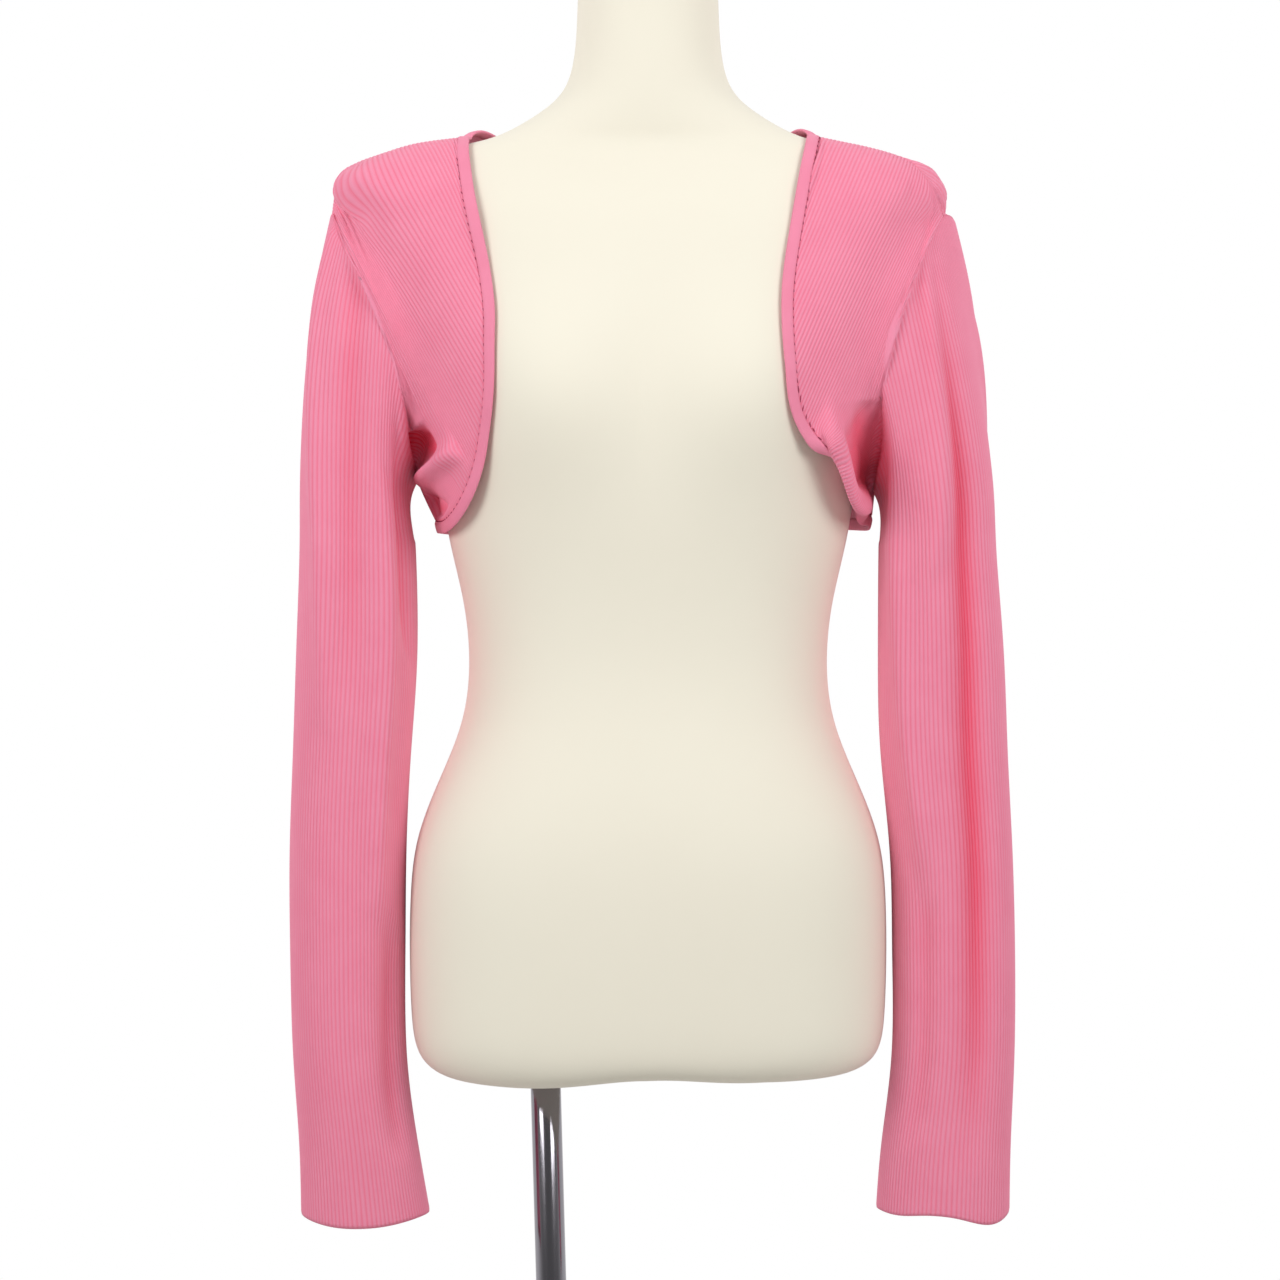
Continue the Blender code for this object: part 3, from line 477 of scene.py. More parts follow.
# %% [markdown]
# ## Nets drawn tight between the seams
#
# A Coons patch fills the space between four edges. Knit that is pulled between seams has no
# spare cloth, so each inner point then moves to the mean of its four neighbours, many times
# over, while it is held off the form. That is how a soap film settles, and it looks like jersey.
# A cloth simulation could do it too, but here the seams, and so the outline, stay where the tables
# put them.
#
# The ribs of a front slant towards the middle. They leave the shoulder seam and the lower armhole,
# and all end at the band. The upper armhole runs along one rib.

# %% Nets
FRONT_ROWS = 15
RIB_SLANT = {"right": radians(62), "left": radians(66)}  # from level, in the front view
ALONG_RIB, RIB_LANDING = 3, 0.012  # armhole spans that run along one rib, and their step at the band
FRONT_FILL = {"right": 6 * MM, "left": 5 * MM}  # how far the sleeve's pull holds a front out, midway
FILL_BEGINS, FILL_ENDS, FILL_FADE = 0.4, 0.95, 0.3  # shares of the front's width
MEET_SLOPE, MEET_REACH, MEET_STEPS = 0.35, 34 * MM, 80  # how level a front meets the armhole
MEET_LOW_Z, MEET_FADE = 1145 * MM, 30 * MM  # and from which height up it does
RIB_PULL = 0.7  # share of the pull that runs along the ribs
SETTLE_PASSES = 240
RIBS_TO_HEAD = 0.09  # how much the sleeve's ribs crowd towards the head


def patch(top, end, first, last):
    """Coons patch: the two ruled surfaces between facing edges, less the bilinear one they share."""
    columns = np.linspace(0, 1, len(top))[:, None, None]
    rows = np.linspace(0, 1, len(first))[None, :, None]
    across = (1 - columns) * first[None] + columns * last[None]
    down = (1 - rows) * top[:, None] + rows * end[:, None]
    corners = (1 - columns) * ((1 - rows) * top[0] + rows * end[0])
    corners = corners + columns * ((1 - rows) * top[-1] + rows * end[-1])
    return across + down - corners


def settle(net):
    """Moves every inner point to the mean of its four neighbours, again and again, off the form."""
    for _ in range(SETTLE_PASSES):
        beside = net[:-2, 1:-1] + net[2:, 1:-1]
        along_rib = net[1:-1, :-2] + net[1:-1, 2:]
        net[1:-1, 1:-1] = off_form((beside * (1 - RIB_PULL) + along_rib * RIB_PULL) / 2)
    return net


# %% Front nets


def rib_ends(side):
    """Shares of the front's edge where the ribs end, one for each point of the net's top."""
    edge = seam[side, "edge"]
    far = lengths(edge) / lengths(edge)[-1]
    beside = np.array([SIDE[side] * sin(RIB_SLANT[side]), 0, -cos(RIB_SLANT[side])])
    shoulder = np.interp(seam[side, "shoulder"] @ beside, np.maximum.accumulate(edge @ beside), far)
    shoulder[0], landing = 0, shoulder[-1]
    upper = landing + RIB_LANDING * np.arange(1, ALONG_RIB + 1)
    lower = np.linspace(upper[-1], 1, ARM_ROWS - ALONG_RIB + 1)[1:]
    return np.concatenate([shoulder, upper, lower])


def meet_sleeve(points, side):
    """Brings the cloth beside the upper armhole level with the seam: y = seam's y - slope x distance."""
    line = read(seam[side, "front_arm"], np.linspace(0, ARM_ROWS, MEET_STEPS))
    away = np.linalg.norm(points[..., None, [0, 2]] - line[:, [0, 2]], axis=-1)
    near = away.min(axis=-1)
    level = line[away.argmin(axis=-1), 1] - MEET_SLOPE * near
    share = 1 - smooth_step(near / MEET_REACH)
    share = share * smooth_step((points[..., 2] - MEET_LOW_Z) / MEET_FADE)
    points[..., 1] += share * (level - points[..., 1])
    return points


def front_net(side):
    """Points [rib, row] from the shoulder seam and the armhole to the band."""
    top = np.concatenate([seam[side, "shoulder"], seam[side, "front_arm"][::-1][1:]])
    end = along(seam[side, "edge"], rib_ends(side))
    first = np.repeat(top[:1], FRONT_ROWS, axis=0)
    last = np.linspace(top[-1], end[-1], FRONT_ROWS)
    net = settle(patch(top, end, first, last))
    column, row = np.linspace(0, 1, len(net))[:, None], np.linspace(0, 1, FRONT_ROWS)[None, :]
    fill = np.sin(pi * row) * smooth_step(column / FILL_BEGINS)
    fill = fill * smooth_step((FILL_ENDS - column) / FILL_FADE)
    net = net - (FRONT_FILL[side] * fill)[..., None] * (0, 1, 0)
    net[:, 1:-1] = off_form(meet_sleeve(net[:, 1:-1], side))
    return net


# %% Back net and armhole curve


def back_net():
    """Points [rib, row] from the right armhole to the left one, shoulders and neck to hem."""
    top = (seam["right", "shoulder"][::-2], seam["neck"][1:-1], seam["left", "shoulder"][::2])
    first = np.concatenate([seam["right", "back_arm"], seam["hem"][:1]])
    last = np.concatenate([seam["left", "back_arm"], seam["hem"][-1:]])
    return settle(patch(np.concatenate(top), seam["hem"], first, last))


def hole_curve(side, at):
    """The armhole as one closed curve, read round from the underarm. The ribs crowd to the head."""
    hole = np.concatenate([seam[side, "front_arm"], seam[side, "back_arm"][1:-1]])
    at = np.asarray(at) + RIBS_TO_HEAD * np.sin(2 * pi * np.asarray(at))
    return read(hole, at * len(hole), closed=True)


# %% [markdown]
# ## Sleeves
#
# A set-in sleeve starts in the armhole's slant and ends level at the cuff. Between the hole and the
# first level ring, a cubic Hermite curve leaves the seam outwards at the head and down at the
# underarm. The cuff dips a little where the cloth hangs in waves.

# %% Sleeve tables and net
SleeveRow = namedtuple("SleeveRow", "z x y half_width half_depth square")
SLEEVE = {
    "right": [
        SleeveRow(1068, -191.5, 0, 37.5, 50, 2.2),
        SleeveRow(1006, -192, -2, 39, 46, 2.2),
        SleeveRow(940, -195, -4, 38, 42, 2.2),
        SleeveRow(874, -197.5, -6, 37.5, 39, 2.2),
        SleeveRow(808, -197.5, -8, 37, 36, 2.2),
        SleeveRow(742, -196, -10, 36.5, 33, 2.2),
        SleeveRow(686, -190.5, -12, 38, 29, 2.2),
        SleeveRow(639, -185.5, -13, 41.5, 25, 2.2),
    ],
    "left": [
        SleeveRow(1068, 191, 0, 38, 50, 2.2),
        SleeveRow(1006, 193, -2, 40.5, 46, 2.2),
        SleeveRow(940, 195, -4, 41, 42, 2.2),
        SleeveRow(874, 199.5, -6, 39.5, 39, 2.2),
        SleeveRow(808, 201, -8, 39.5, 36, 2.2),
        SleeveRow(742, 200.5, -10, 39.5, 32, 2.2),
        SleeveRow(686, 196, -12, 41.5, 28, 2.2),
        SleeveRow(641, 193.5, -13, 43, 25, 2.2),
    ],
}
SLEEVE_COLUMNS, SLEEVE_HEAD_ROWS = 44, 5
HEAD_BULGE, BULGE_WAY, UNDERARM_LEAN = 0.26, (1, 0.3, 0), 0.62  # how the sleeve leaves the seam
ARRIVE, EARLY = 0.9, 1.6  # how steeply it reaches the first ring, and how soon the ribs turn upright
CuffWave = namedtuple("CuffWave", "around drop spread")
CUFF_WAVES = {
    "right": [CuffWave(0.27, 9, 0.12), CuffWave(0.75, 5, 0.12)],
    "left": [CuffWave(0.36, 9, 0.07), CuffWave(0.14, 3, 0.06), CuffWave(0.72, 5, 0.12)],
}


def level_ring(row, side):
    """A level flattened oval, from the sleeve's inner side round by the front."""
    across, deep = oval(2 * pi * np.arange(SLEEVE_COLUMNS) / SLEEVE_COLUMNS, row.square)
    x, y = row.x - SIDE[side] * row.half_width * across, row.y - row.half_depth * deep
    return np.stack([x, y, row.z + 0 * x], axis=1) * MM


def sleeve_net(side):
    """Rings from the armhole to the cuff: a Hermite blend of the hole and the first level ring."""
    around = np.arange(SLEEVE_COLUMNS) / SLEEVE_COLUMNS
    hole = hole_curve(side, around)
    rings = [level_ring(row, side) for row in SLEEVE[side]]
    for wave in CUFF_WAVES[side]:
        away = (around - wave.around + 0.5) % 1 - 0.5
        rings[-1][:, 2] -= wave.drop * MM * np.exp(-((away / wave.spread) ** 2) / 2)
    drop = np.linalg.norm(rings[0] - hole, axis=1)[:, None]
    outward = unit((hole - hole.mean(axis=0)) * BULGE_WAY)
    height = (hole[:, 2:] - hole[:, 2].min()) / np.ptp(hole[:, 2])
    aside = HEAD_BULGE * height * outward + UNDERARM_LEAN * (1 - height) ** 2 * (SIDE[side], 0, 0)
    leave, arrive = drop * (aside - (0, 0, 1)), drop * np.array([0, 0, -ARRIVE])
    leave = leave + EARLY * np.sin(2 * pi * around)[:, None] ** 2 * (rings[0] - hole) * (1, 1, 0)
    head = []
    for share in np.arange(SLEEVE_HEAD_ROWS) / SLEEVE_HEAD_ROWS:
        ring = hole + smooth_step(share) * (rings[0] - hole)
        ring = ring + (share - 2 * share**2 + share**3) * leave + (share**3 - share**2) * arrive
        head.append(ring)
    return np.stack(head + rings, axis=1)


nets = {"back": back_net()}
for side in SIDE:
    nets[f"front_{side}"], nets[f"sleeve_{side}"] = front_net(side), sleeve_net(side)
print("net sizes:", {name: net.shape[:2] for name, net in nets.items()})

# %% [markdown]
# ## Fine nets
#
# The ribs of the knit are 2.5 mm apart. Four columns for each rib give it a groove, two flanks and
# a crest. The seams keep their sharp corners because each edge is read by itself, and the small
# difference fades out over the cloth beside it. Rows are closer together beside the seams.

# %% Fine nets
COLUMNS_PER_RIB = 4
RIBS = {"sleeve": 96, "back": 138, "shoulder": 43, "along_rib": 5, "lower_arm": 38}
FINE_ROWS = {"sleeve": 150, "back": 70, "front": 110}
EDGE_SHARES = np.array([0, 0.004, 0.011])  # rows close to a seam, where the cloth rolls in
NEXT_SHARE, MIDDLE_SHARE = 0.022, 0.956  # where the other rows begin, and the share they cover
FRONT_CROWD, FIRST_RIB = 1.4, 0.3  # rows crowd to a front's band, and it begins inside its first rib
FIT_REACH, SLEEVE_FIT_REACH = 0.2, 0.06  # shares of the length over which a seam's move fades out
SEAM_STEPS = 2000


def row_shares(count, crowd=1.0):
    """Shares down a piece, closer together at both ends, and towards the far end as 1 - (1-s)^crowd."""
    middle = NEXT_SHARE + MIDDLE_SHARE * (1 - (1 - np.linspace(0, 1, count)) ** crowd)
    return np.concatenate([EDGE_SHARES, middle, 1 - EDGE_SHARES[::-1]])


def refine(net, columns_at, shares, closed=False):
    """A net read along its columns and then along its rows."""
    wide = read(net, columns_at, closed)
    return read(wide.transpose(1, 0, 2), shares * (net.shape[1] - 1)).transpose(1, 0, 2)


def fit_rows(fine, exact, last=False, reach=FIT_REACH):
    """Moves a piece's first or last row onto its exact seam. The move fades out as (1 - s/reach)^2."""
    rows = fine.shape[1]
    share = np.linspace(0, 1, rows)
    share = share[::-1] if last else share
    fade = np.clip(1 - share / reach, 0, 1) ** 2
    return fine + (exact - fine[:, -1 if last else 0])[:, None] * fade[None, :, None]


def pieces_of(line, breaks, at):
    """A seam with sharp corners: each run between breaks is a smooth curve of its own."""
    found = np.empty((len(at), 3))
    for first, last in zip(breaks[:-1], breaks[1:]):
        here = (at >= first - 1e-9) & (at <= last + 1e-9)
        found[here] = read(line[first : last + 1], at[here] - first)
    return found


# %% Fine net of each piece


def fine_sleeve(side):
    """The fine net of a sleeve, with each column's place counted in ribs."""
    count = RIBS["sleeve"] * COLUMNS_PER_RIB
    around = np.arange(count) / count
    shares = row_shares(FINE_ROWS["sleeve"])
    fine = refine(nets[f"sleeve_{side}"], around * SLEEVE_COLUMNS, shares, closed=True)
    fine = fit_rows(fine, hole_curve(side, around), reach=SLEEVE_FIT_REACH)
    return fine, around * RIBS["sleeve"]


def fine_front(side):
    """The fine net of a front and its ribs, which are shared out run by run along its top."""
    spans = SHOULDER_SPANS, ALONG_RIB, ARM_ROWS - ALONG_RIB
    ribs = np.cumsum([0, RIBS["shoulder"], RIBS["along_rib"], RIBS["lower_arm"]])
    knots = np.cumsum([0, *spans])
    count = ribs[-1] * COLUMNS_PER_RIB
    rib = np.linspace(FIRST_RIB, ribs[-1], count + 1)
    at = np.interp(rib, ribs, knots)
    net = nets[f"front_{side}"]
    fine = refine(net, at, row_shares(FINE_ROWS["front"], FRONT_CROWD))
    fine = fit_rows(fine, pieces_of(net[:, 0], [0, SHOULDER_SPANS, knots[-1]], at))
    edge = read(seam[side, "edge"], np.linspace(0, EDGE_SPANS, SEAM_STEPS))
    ends = np.interp(at, np.arange(len(net)), rib_ends(side))
    return fit_rows(fine, along(edge, ends), last=True), rib


def fine_back():
    """The fine net of the back and its ribs."""
    net = nets["back"]
    knots = len(net) - 1
    count = RIBS["back"] * COLUMNS_PER_RIB
    at = np.linspace(0, knots, count + 1)
    half = SHOULDER_SPANS // 2
    fine = refine(net, at, row_shares(FINE_ROWS["back"]))
    fine = fit_rows(fine, pieces_of(net[:, 0], [0, half, knots - half, knots], at))
    fine = fit_rows(fine, read(net[:, -1], at), last=True)
    return fine, at * RIBS["back"] / knots


fine, rib = {}, {}
fine["back"], rib["back"] = fine_back()
for side in SIDE:
    fine[f"front_{side}"], rib[f"front_{side}"] = fine_front(side)
    fine[f"sleeve_{side}"], rib[f"sleeve_{side}"] = fine_sleeve(side)
print("fine net sizes:", {name: net.shape[:2] for name, net in fine.items()})

# %% [markdown]
# ## Folds
#
# The folds are soft ridges and troughs, placed one by one. A fold runs between two places, is
# highest at its middle, and falls off to its sides as a bell. On a sleeve a place is a share
# round and down the tube. On a front it is a place in the front view, in millimetres. Folds from a
# simulation would fall at random, and these fall where the picture has them.

# %% Fold tables
Fold = namedtuple("Fold", "around_from down_from around_to down_to height width")
SLEEVE_SIZE, BACK_SIZE = (250, 660), (330, 230)  # across and down in mm: shares times these
SLEEVE_FOLDS = {  # around is 0 at the underarm, 0.25 at the front, 0.5 outside and 0.75 behind
    "right": [
        Fold(0.40, -0.05, 0.31, 0.50, 5.0, 8),
        Fold(0.27, -0.15, 0.25, 0.46, -4.5, 10),
        Fold(0.16, 0.14, 0.16, 0.66, 6.5, 8),
        Fold(0.09, 0.02, 0.09, 0.30, -5.5, 8),
        Fold(0.10, 0.62, 0.13, 0.93, -5.0, 11),
        Fold(0.60, 0.10, 0.70, 0.52, 4.5, 12),
        Fold(0.74, 0.20, 0.80, 0.70, -4.5, 13),
        Fold(0.88, 0.30, 0.90, 0.66, 4.0, 11),
    ],
    "left": [
        Fold(0.36, -0.05, 0.23, 0.30, 4.5, 8),
        Fold(0.325, -0.10, 0.29, 0.95, -8.5, 13.5),
        Fold(0.09, 0.00, 0.185, 0.66, 5.5, 8),
        Fold(0.17, 0.55, 0.16, 0.92, -3.5, 9),
        Fold(0.60, 0.10, 0.68, 0.50, 4.5, 12),
        Fold(0.74, 0.18, 0.80, 0.75, -4.5, 13),
        Fold(0.88, 0.30, 0.90, 0.70, 4.0, 11),
    ],
}
BACK_FOLDS = [  # around is 0 at the wearer's right
    Fold(0.07, 0.46, 0.20, 0.92, 4.5, 14),
    Fold(0.05, 0.66, 0.10, 0.92, -3.0, 10),
    Fold(0.93, 0.46, 0.80, 0.92, 4.5, 14),
    Fold(0.95, 0.66, 0.90, 0.92, -3.0, 10),
    Fold(0.40, 0.52, 0.34, 0.90, 3.0, 18),
    Fold(0.60, 0.52, 0.66, 0.90, 3.0, 18),
]
FrontFold = namedtuple("FrontFold", "x_from z_from x_to z_to height width")
FRONT_FOLDS = {
    "right": [
        FrontFold(-152, 1118, -120, 1137, 9, 7.5),
        FrontFold(-155, 1150, -141, 1126, -10, 9),
        FrontFold(-152, 1106, -134, 1092, -9, 8.5),
    ],
    "left": [
        FrontFold(140, 1168, 147, 1106, -8, 8),
    ],
}
print("folds down the sleeves:", {side: len(rows) for side, rows in SLEEVE_FOLDS.items()})

# %% Fold shape, facing and distance from the seams


def fold_height(here, start, end, height, width):
    """height x (1 - (2s-1)^4) x exp(-(d/width)^2), s along the fold and d the distance from it."""
    run = end - start
    s = np.clip((here - start) @ run / (run @ run), 0, 1)
    away = np.linalg.norm(here - start - s[..., None] * run, axis=-1)
    return height * MM * (1 - (2 * s - 1) ** 4) * np.exp(-((away / width) ** 2))


def facing_of(net, turn, closed):
    """Outward directions: the cross product of the net's two tangents."""
    if closed:
        across = np.roll(net, -1, axis=0) - np.roll(net, 1, axis=0)
    else:
        across = np.gradient(net, axis=0)
    return turn * unit(np.cross(across, np.gradient(net, axis=1)))


def run_down(net):
    """Distance of each point from its column's top."""
    return lengths(net.transpose(1, 0, 2)).T


def shares_of(net, closed):
    """Shares round a net, by column, and down it, by length."""
    around = np.linspace(0, 1, len(net), endpoint=not closed)[:, None]
    down = run_down(net)
    return np.broadcast_to(around, net.shape[:2]), down / down[:, -1:]


def inset(net, closed, reach):
    """Rises from 0 at a seam to 1 at `reach` inside the piece. A sleeve's cuff isn't a seam."""
    down = run_down(net)
    inside = np.minimum(down, 1 if closed else down[:, -1:] - down)
    if not closed:
        across = lengths(net)
        inside = np.minimum(inside, np.minimum(across, across[-1:] - across))
    return smooth_step(inside / reach)


# %% Fold the nets
FOLD_INSET = 8 * MM  # how far from a seam a fold has its full height
# A trough this deep gets the full painted shade in the knit's colour.
DEEPEST = 9 * MM  # the depth at which a trough has its darkest colour
TURN = {"back": 1, "front_right": 1, "sleeve_right": 1, "front_left": -1, "sleeve_left": -1}
TUBE = {name: name.startswith("sleeve") for name in nets}


def front_fold_height(net, folds):
    """The sum of a front's folds, by distance in the front view."""
    here = net[..., [0, 2]] / MM
    rows = [(np.array(f[0:2]), np.array(f[2:4]), f.height, f.width) for f in folds]
    return sum(fold_height(here, *row) for row in rows)


def share_fold_height(net, folds, size, tube):
    """The sum of the folds of a sleeve or the back, by distance on the cloth laid flat."""
    around, down = shares_of(net, tube)
    height = 0
    for f in folds:
        beside = around - f.around_from
        beside = (beside + 0.5) % 1 - 0.5 if tube else beside
        here = np.stack([beside, down - f.down_from], axis=-1) * size
        run = np.array([f.around_to - f.around_from, f.down_to - f.down_from]) * size
        height = height + fold_height(here, np.zeros(2), run, f.height, f.width)
    return height


def fold_net(name):
    """Net + height x outward direction, and the painted shade of each point in a trough: (depth /
    deepest)^2.
    """
    net, tube = fine[name], TUBE[name]
    kind, _, side = name.partition("_")
    if kind == "front":
        height = front_fold_height(net, FRONT_FOLDS[side])
    elif kind == "sleeve":
        height = share_fold_height(net, SLEEVE_FOLDS[side], np.array(SLEEVE_SIZE), tube)
    else:
        height = share_fold_height(net, BACK_FOLDS, np.array(BACK_SIZE), tube)
    height = height * inset(net, tube, FOLD_INSET)
    moved = net + height[..., None] * facing_of(net, TURN[name], tube)
    moved = moved if tube else off_form(moved, gap=FOLD_GAP)
    return moved, np.clip(-height / DEEPEST, 0, 1) ** 2


# Painted shade for each piece: how deep each point lies in a fold's trough.
trough_shade_paint = {}
for name in nets:
    fine[name], trough_shade_paint[name] = fold_net(name)
    print(name, "deepest trough, as a share of the darkest:", round(trough_shade_paint[name].max(), 2))

# %% [markdown]
# ## The edge that rolls under
#
# On the wearer's left the narrow edge of the front has curled under below the bust, and the curl
# looks like a cord with ribs wound round it. The table gives the section of the curl, in
# millimetres: how far a point goes over the edge, how far it rises, and how far it slips along the
# edge, by its distance from the seam. The slip turns the ribs, so that they lie across the cord. The
# ribs' ends take this section where the roll is full, and the band turns under behind it.

# %% Rolled edge
Curl = namedtuple("Curl", "from_seam over rise along")
CURL = [
    Curl(0, -1, 1, 0),
    Curl(3, 3.5, 2, -6),
    Curl(6, 7.3, 5.5, -11),
    Curl(9, 9.3, 9.3, -12.5),
    Curl(12.5, 8.9, 12.6, -11.5),
    Curl(16, 7.6, 13.6, -9),
    Curl(20, 6.8, 11.6, -6),
    Curl(24.5, 7.8, 6.2, -3),
    Curl(29, 8.2, 1, -1),
    Curl(36, 4, 0, 0),
    Curl(48, 0, 0, 0),
]
ARM_REACH = 12 * MM  # the curl fades out this near the armhole
ROWS_INWARD = 14  # rows back from the seam that show which way the cloth lies
SEAM_LIFT, SEAM_ARCH = 3 * MM, 5 * MM  # the seam rises off the form, most where the roll begins
ROLL_FROM_Z, ROLL_FULL_Z = 1149 * MM, 1119 * MM
ROLL_FADE_Y, ROLL_END_Y = -38 * MM, 2 * MM
ROLL_FROM_X, ROLL_FADE_X = 60 * MM, 20 * MM  # the wearer's left alone
ROLL_FACES = np.array([0.25, -1, -0.15])
print("the curl is worked out to this far from the seam, in mm:", CURL[-1].from_seam)

# %% Roll functions


def roll_weight(places):
    """1 where the roll is full: below the bust and in front of the underarm."""
    begun = smooth_step((ROLL_FROM_Z - places[:, 2]) / (ROLL_FROM_Z - ROLL_FULL_Z))
    left = smooth_step((places[:, 0] - ROLL_FROM_X) / ROLL_FADE_X)
    ended = smooth_step((places[:, 1] - ROLL_FADE_Y) / (ROLL_END_Y - ROLL_FADE_Y))
    return begun * left * (1 - ended)


def roll_frame(end):
    """The seam's own direction, and the roll's weight, outward direction and lift along it."""
    run = unit(np.gradient(end, axis=0))
    weight = roll_weight(end)[:, None]
    lift = weight * SEAM_LIFT + 4 * weight * (1 - weight) * SEAM_ARCH
    return run, weight, unit(ROLL_FACES - (run @ ROLL_FACES)[:, None] * run), lift


def roll_edge(net):
    """Moves each point by w (over x side + rise x out + along x run), by its distance from the seam."""
    table = np.array(CURL, dtype=float) * MM
    down = run_down(net)
    from_seam = np.clip(down[:, -1:] - down, 0, table[-1, 0])
    place = np.interp(from_seam, table[:, 0], np.arange(len(table)))
    curl = read(table[:, 1:], place.ravel()).reshape(*place.shape, 3)
    over, rise, slip = np.moveaxis(curl, 2, 0)
    end = net[:, -1]
    run, weight, out, lift = roll_frame(end)
    side = np.cross(run, out)
    side = side * np.sign((side * (end - net[:, -ROWS_INWARD])).sum(axis=1))[:, None]
    rise = weight * rise + lift * (1 - from_seam / table[-1, 0]) ** 2
    move = (weight * over)[..., None] * side[:, None] + rise[..., None] * out[:, None]
    move = move + (weight * slip)[..., None] * run[:, None]
    return off_form(net + smooth_step(down / ARM_REACH)[..., None] * move, gap=FOLD_GAP)


flat_front = fine["front_left"]
fine["front_left"] = roll_edge(flat_front)
moved = np.linalg.norm(fine["front_left"] - flat_front, axis=2).max()
print("the roll moves the cloth by up to, in mm:", round(moved / MM, 1))

# %% [markdown]
# ## Ribbed walls
#
# Each rib is a rounded ridge with a narrow groove beside it. The outside of the wall stands off
# the net by half the cloth and by the rib, and the inside is plain. At a seam the cloth rolls
# in, so that two pieces meet in a groove, as linked knit does. The ribs could be drawn by bump
# alone, but in the mesh they also show at the outline. The mesh keeps three numbers for each
# point that paint shade into its colour: how deep it lies in a fold, in a groove and in a seam.

# %% Ribbed cloth
CLOTH, RIB_RISE, RIB_GROOVE = 1.3 * MM, 0.14 * MM, 0.36 * MM
SEAM_ROLL, CUFF_ROLL = 2.4 * MM, 1.2 * MM  # how far from a seam or a cuff the outside rolls in
SEAM_CLOTH, SEAM_RIB, CUFF_LEFT = 0.1, 0.25, 0.4  # shares of the cloth and rib that are left there
RIB_PITCH = 2.5
print("cloth and rib in mm:", round(CLOTH / MM, 2), round((RIB_RISE + RIB_GROOVE) / MM, 2))


def grooved(rib):
    """1 in a groove and 0 on a crest: |cos|^4 of half a turn for each rib."""
    return np.cos(pi * rib)[:, None] ** 4


def outside(name):
    """How full the wall is, 1 inside a piece and less at its seams, and the outer points.

    Outer point = net + facing x (half the cloth + rise - (rise + groove) x grooved), each as full.
    """
    net, tube = fine[name], TUBE[name]
    full = inset(net, tube, SEAM_ROLL)
    if tube:
        down = run_down(net)
        full = full * (CUFF_LEFT + (1 - CUFF_LEFT) * smooth_step((down[:, -1:] - down) / CUFF_ROLL))
    height = RIB_RISE - (RIB_RISE + RIB_GROOVE) * grooved(rib[name])
    thick = CLOTH / 2 * (SEAM_CLOTH + (1 - SEAM_CLOTH) * full)
    thick = thick + height * (SEAM_RIB + (1 - SEAM_RIB) * full)
    return full, net + facing_of(net, TURN[name], tube) * thick[..., None]


# %% Wall faces and walls


def wall_faces(columns, rows, tube):
    """Faces of a wall: a fine outside, an inside with one column for each rib, and the rims.

    A rim's face joins the outer points of one rib to the two inner points beside it.
    """
    step, inside = COLUMNS_PER_RIB, columns * rows
    inner_columns = len(range(0, columns, step))
    blocks = [grid_faces(columns, rows, tube)]
    blocks.append(inside + grid_faces(inner_columns, rows, tube)[:, ::-1])
    here = np.arange(inner_columns if tube else inner_columns - 1)[:, None]
    after = (here + 1) % inner_columns
    outer = (step * here + np.arange(step + 1)) % columns
    for row, way in ((0, -1), (rows - 1, 1)):
        rim = (outer * rows + row, inside + after * rows + row, inside + here * rows + row)
        blocks.append(np.concatenate(rim, axis=1)[:, ::way])
    if not tube:
        r = np.arange(rows - 1)
        far, far_in = (columns - 1) * rows, inside + (inner_columns - 1) * rows
        blocks.append(np.stack([r, r + 1, inside + r + 1, inside + r], axis=1))
        blocks.append(np.stack([far + r + 1, far + r, far_in + r, far_in + r + 1], axis=1))
    return blocks


def wall(name):
    """A closed wall of ribbed cloth over a piece's net."""
    net, tube, step = fine[name], TUBE[name], COLUMNS_PER_RIB
    full, outer = outside(name)
    inner = (net - facing_of(net, TURN[name], tube) * CLOTH / 2)[::step]
    points = np.concatenate([outer.reshape(-1, 3), inner.reshape(-1, 3)])
    faces = [face[:: TURN[name]] for block in wall_faces(*net.shape[:2], tube) for face in block.tolist()]
    down = run_down(net) / MM
    width = np.broadcast_to((rib[name] * RIB_PITCH)[:, None], down.shape)
    uv = np.stack([width, down], axis=2)
    uv = np.concatenate([uv.reshape(-1, 2), uv[::step].reshape(-1, 2)])
    made = make(name + "_knit", points, faces, uv)
    # Painted shade: fold, groove and seam depth darken the knit's colour there; the inside gets none.
    depth = np.stack([trough_shade_paint[name], grooved(rib[name]) * full, 1 - full], axis=2)
    depth = np.concatenate([depth.reshape(-1, 3), np.zeros((inner[..., 0].size, 3))])
    shade = made.data.attributes.new("depth", "FLOAT_VECTOR", "POINT")
    shade.data.foreach_set("vector", depth.ravel())
    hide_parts(name)
    return made


# %% [markdown]
# ## What the cutter needs
#
# A cut's flat size comes from the lengths along its own net: the longest row and the longest
# column. Its area is the sum of the net's small cells. A front is a curved strip in a much larger
# box, and the frame takes no area under 0.3 of the box. To keep clear of that, no area is stated
# under 0.31 of it. That raises the left front's by about 1 %, and leaves the others as measured.


def cut_size(name):
    """Width, length and area of the flat cut, from the net's own lengths, in metres."""
    net = fine[name]
    steps = np.diff(net, axis=0, append=net[:1] if TUBE[name] else net[-1:])
    around = np.linalg.norm(steps, axis=2).sum(axis=0)
    a, b = np.diff(net, axis=0)[:, :-1], np.diff(net, axis=1)[:-1]
    area = np.linalg.norm(np.cross(a, b), axis=2).sum()
    return around.max(), run_down(net)[:, -1].max(), area


cloth = {}
for name in nets:
    cloth[name] = wall(name)
    width, length, net_area = cut_size(name)
    print(name, "flat cut in mm:", round(width / MM), "x", round(length / MM))

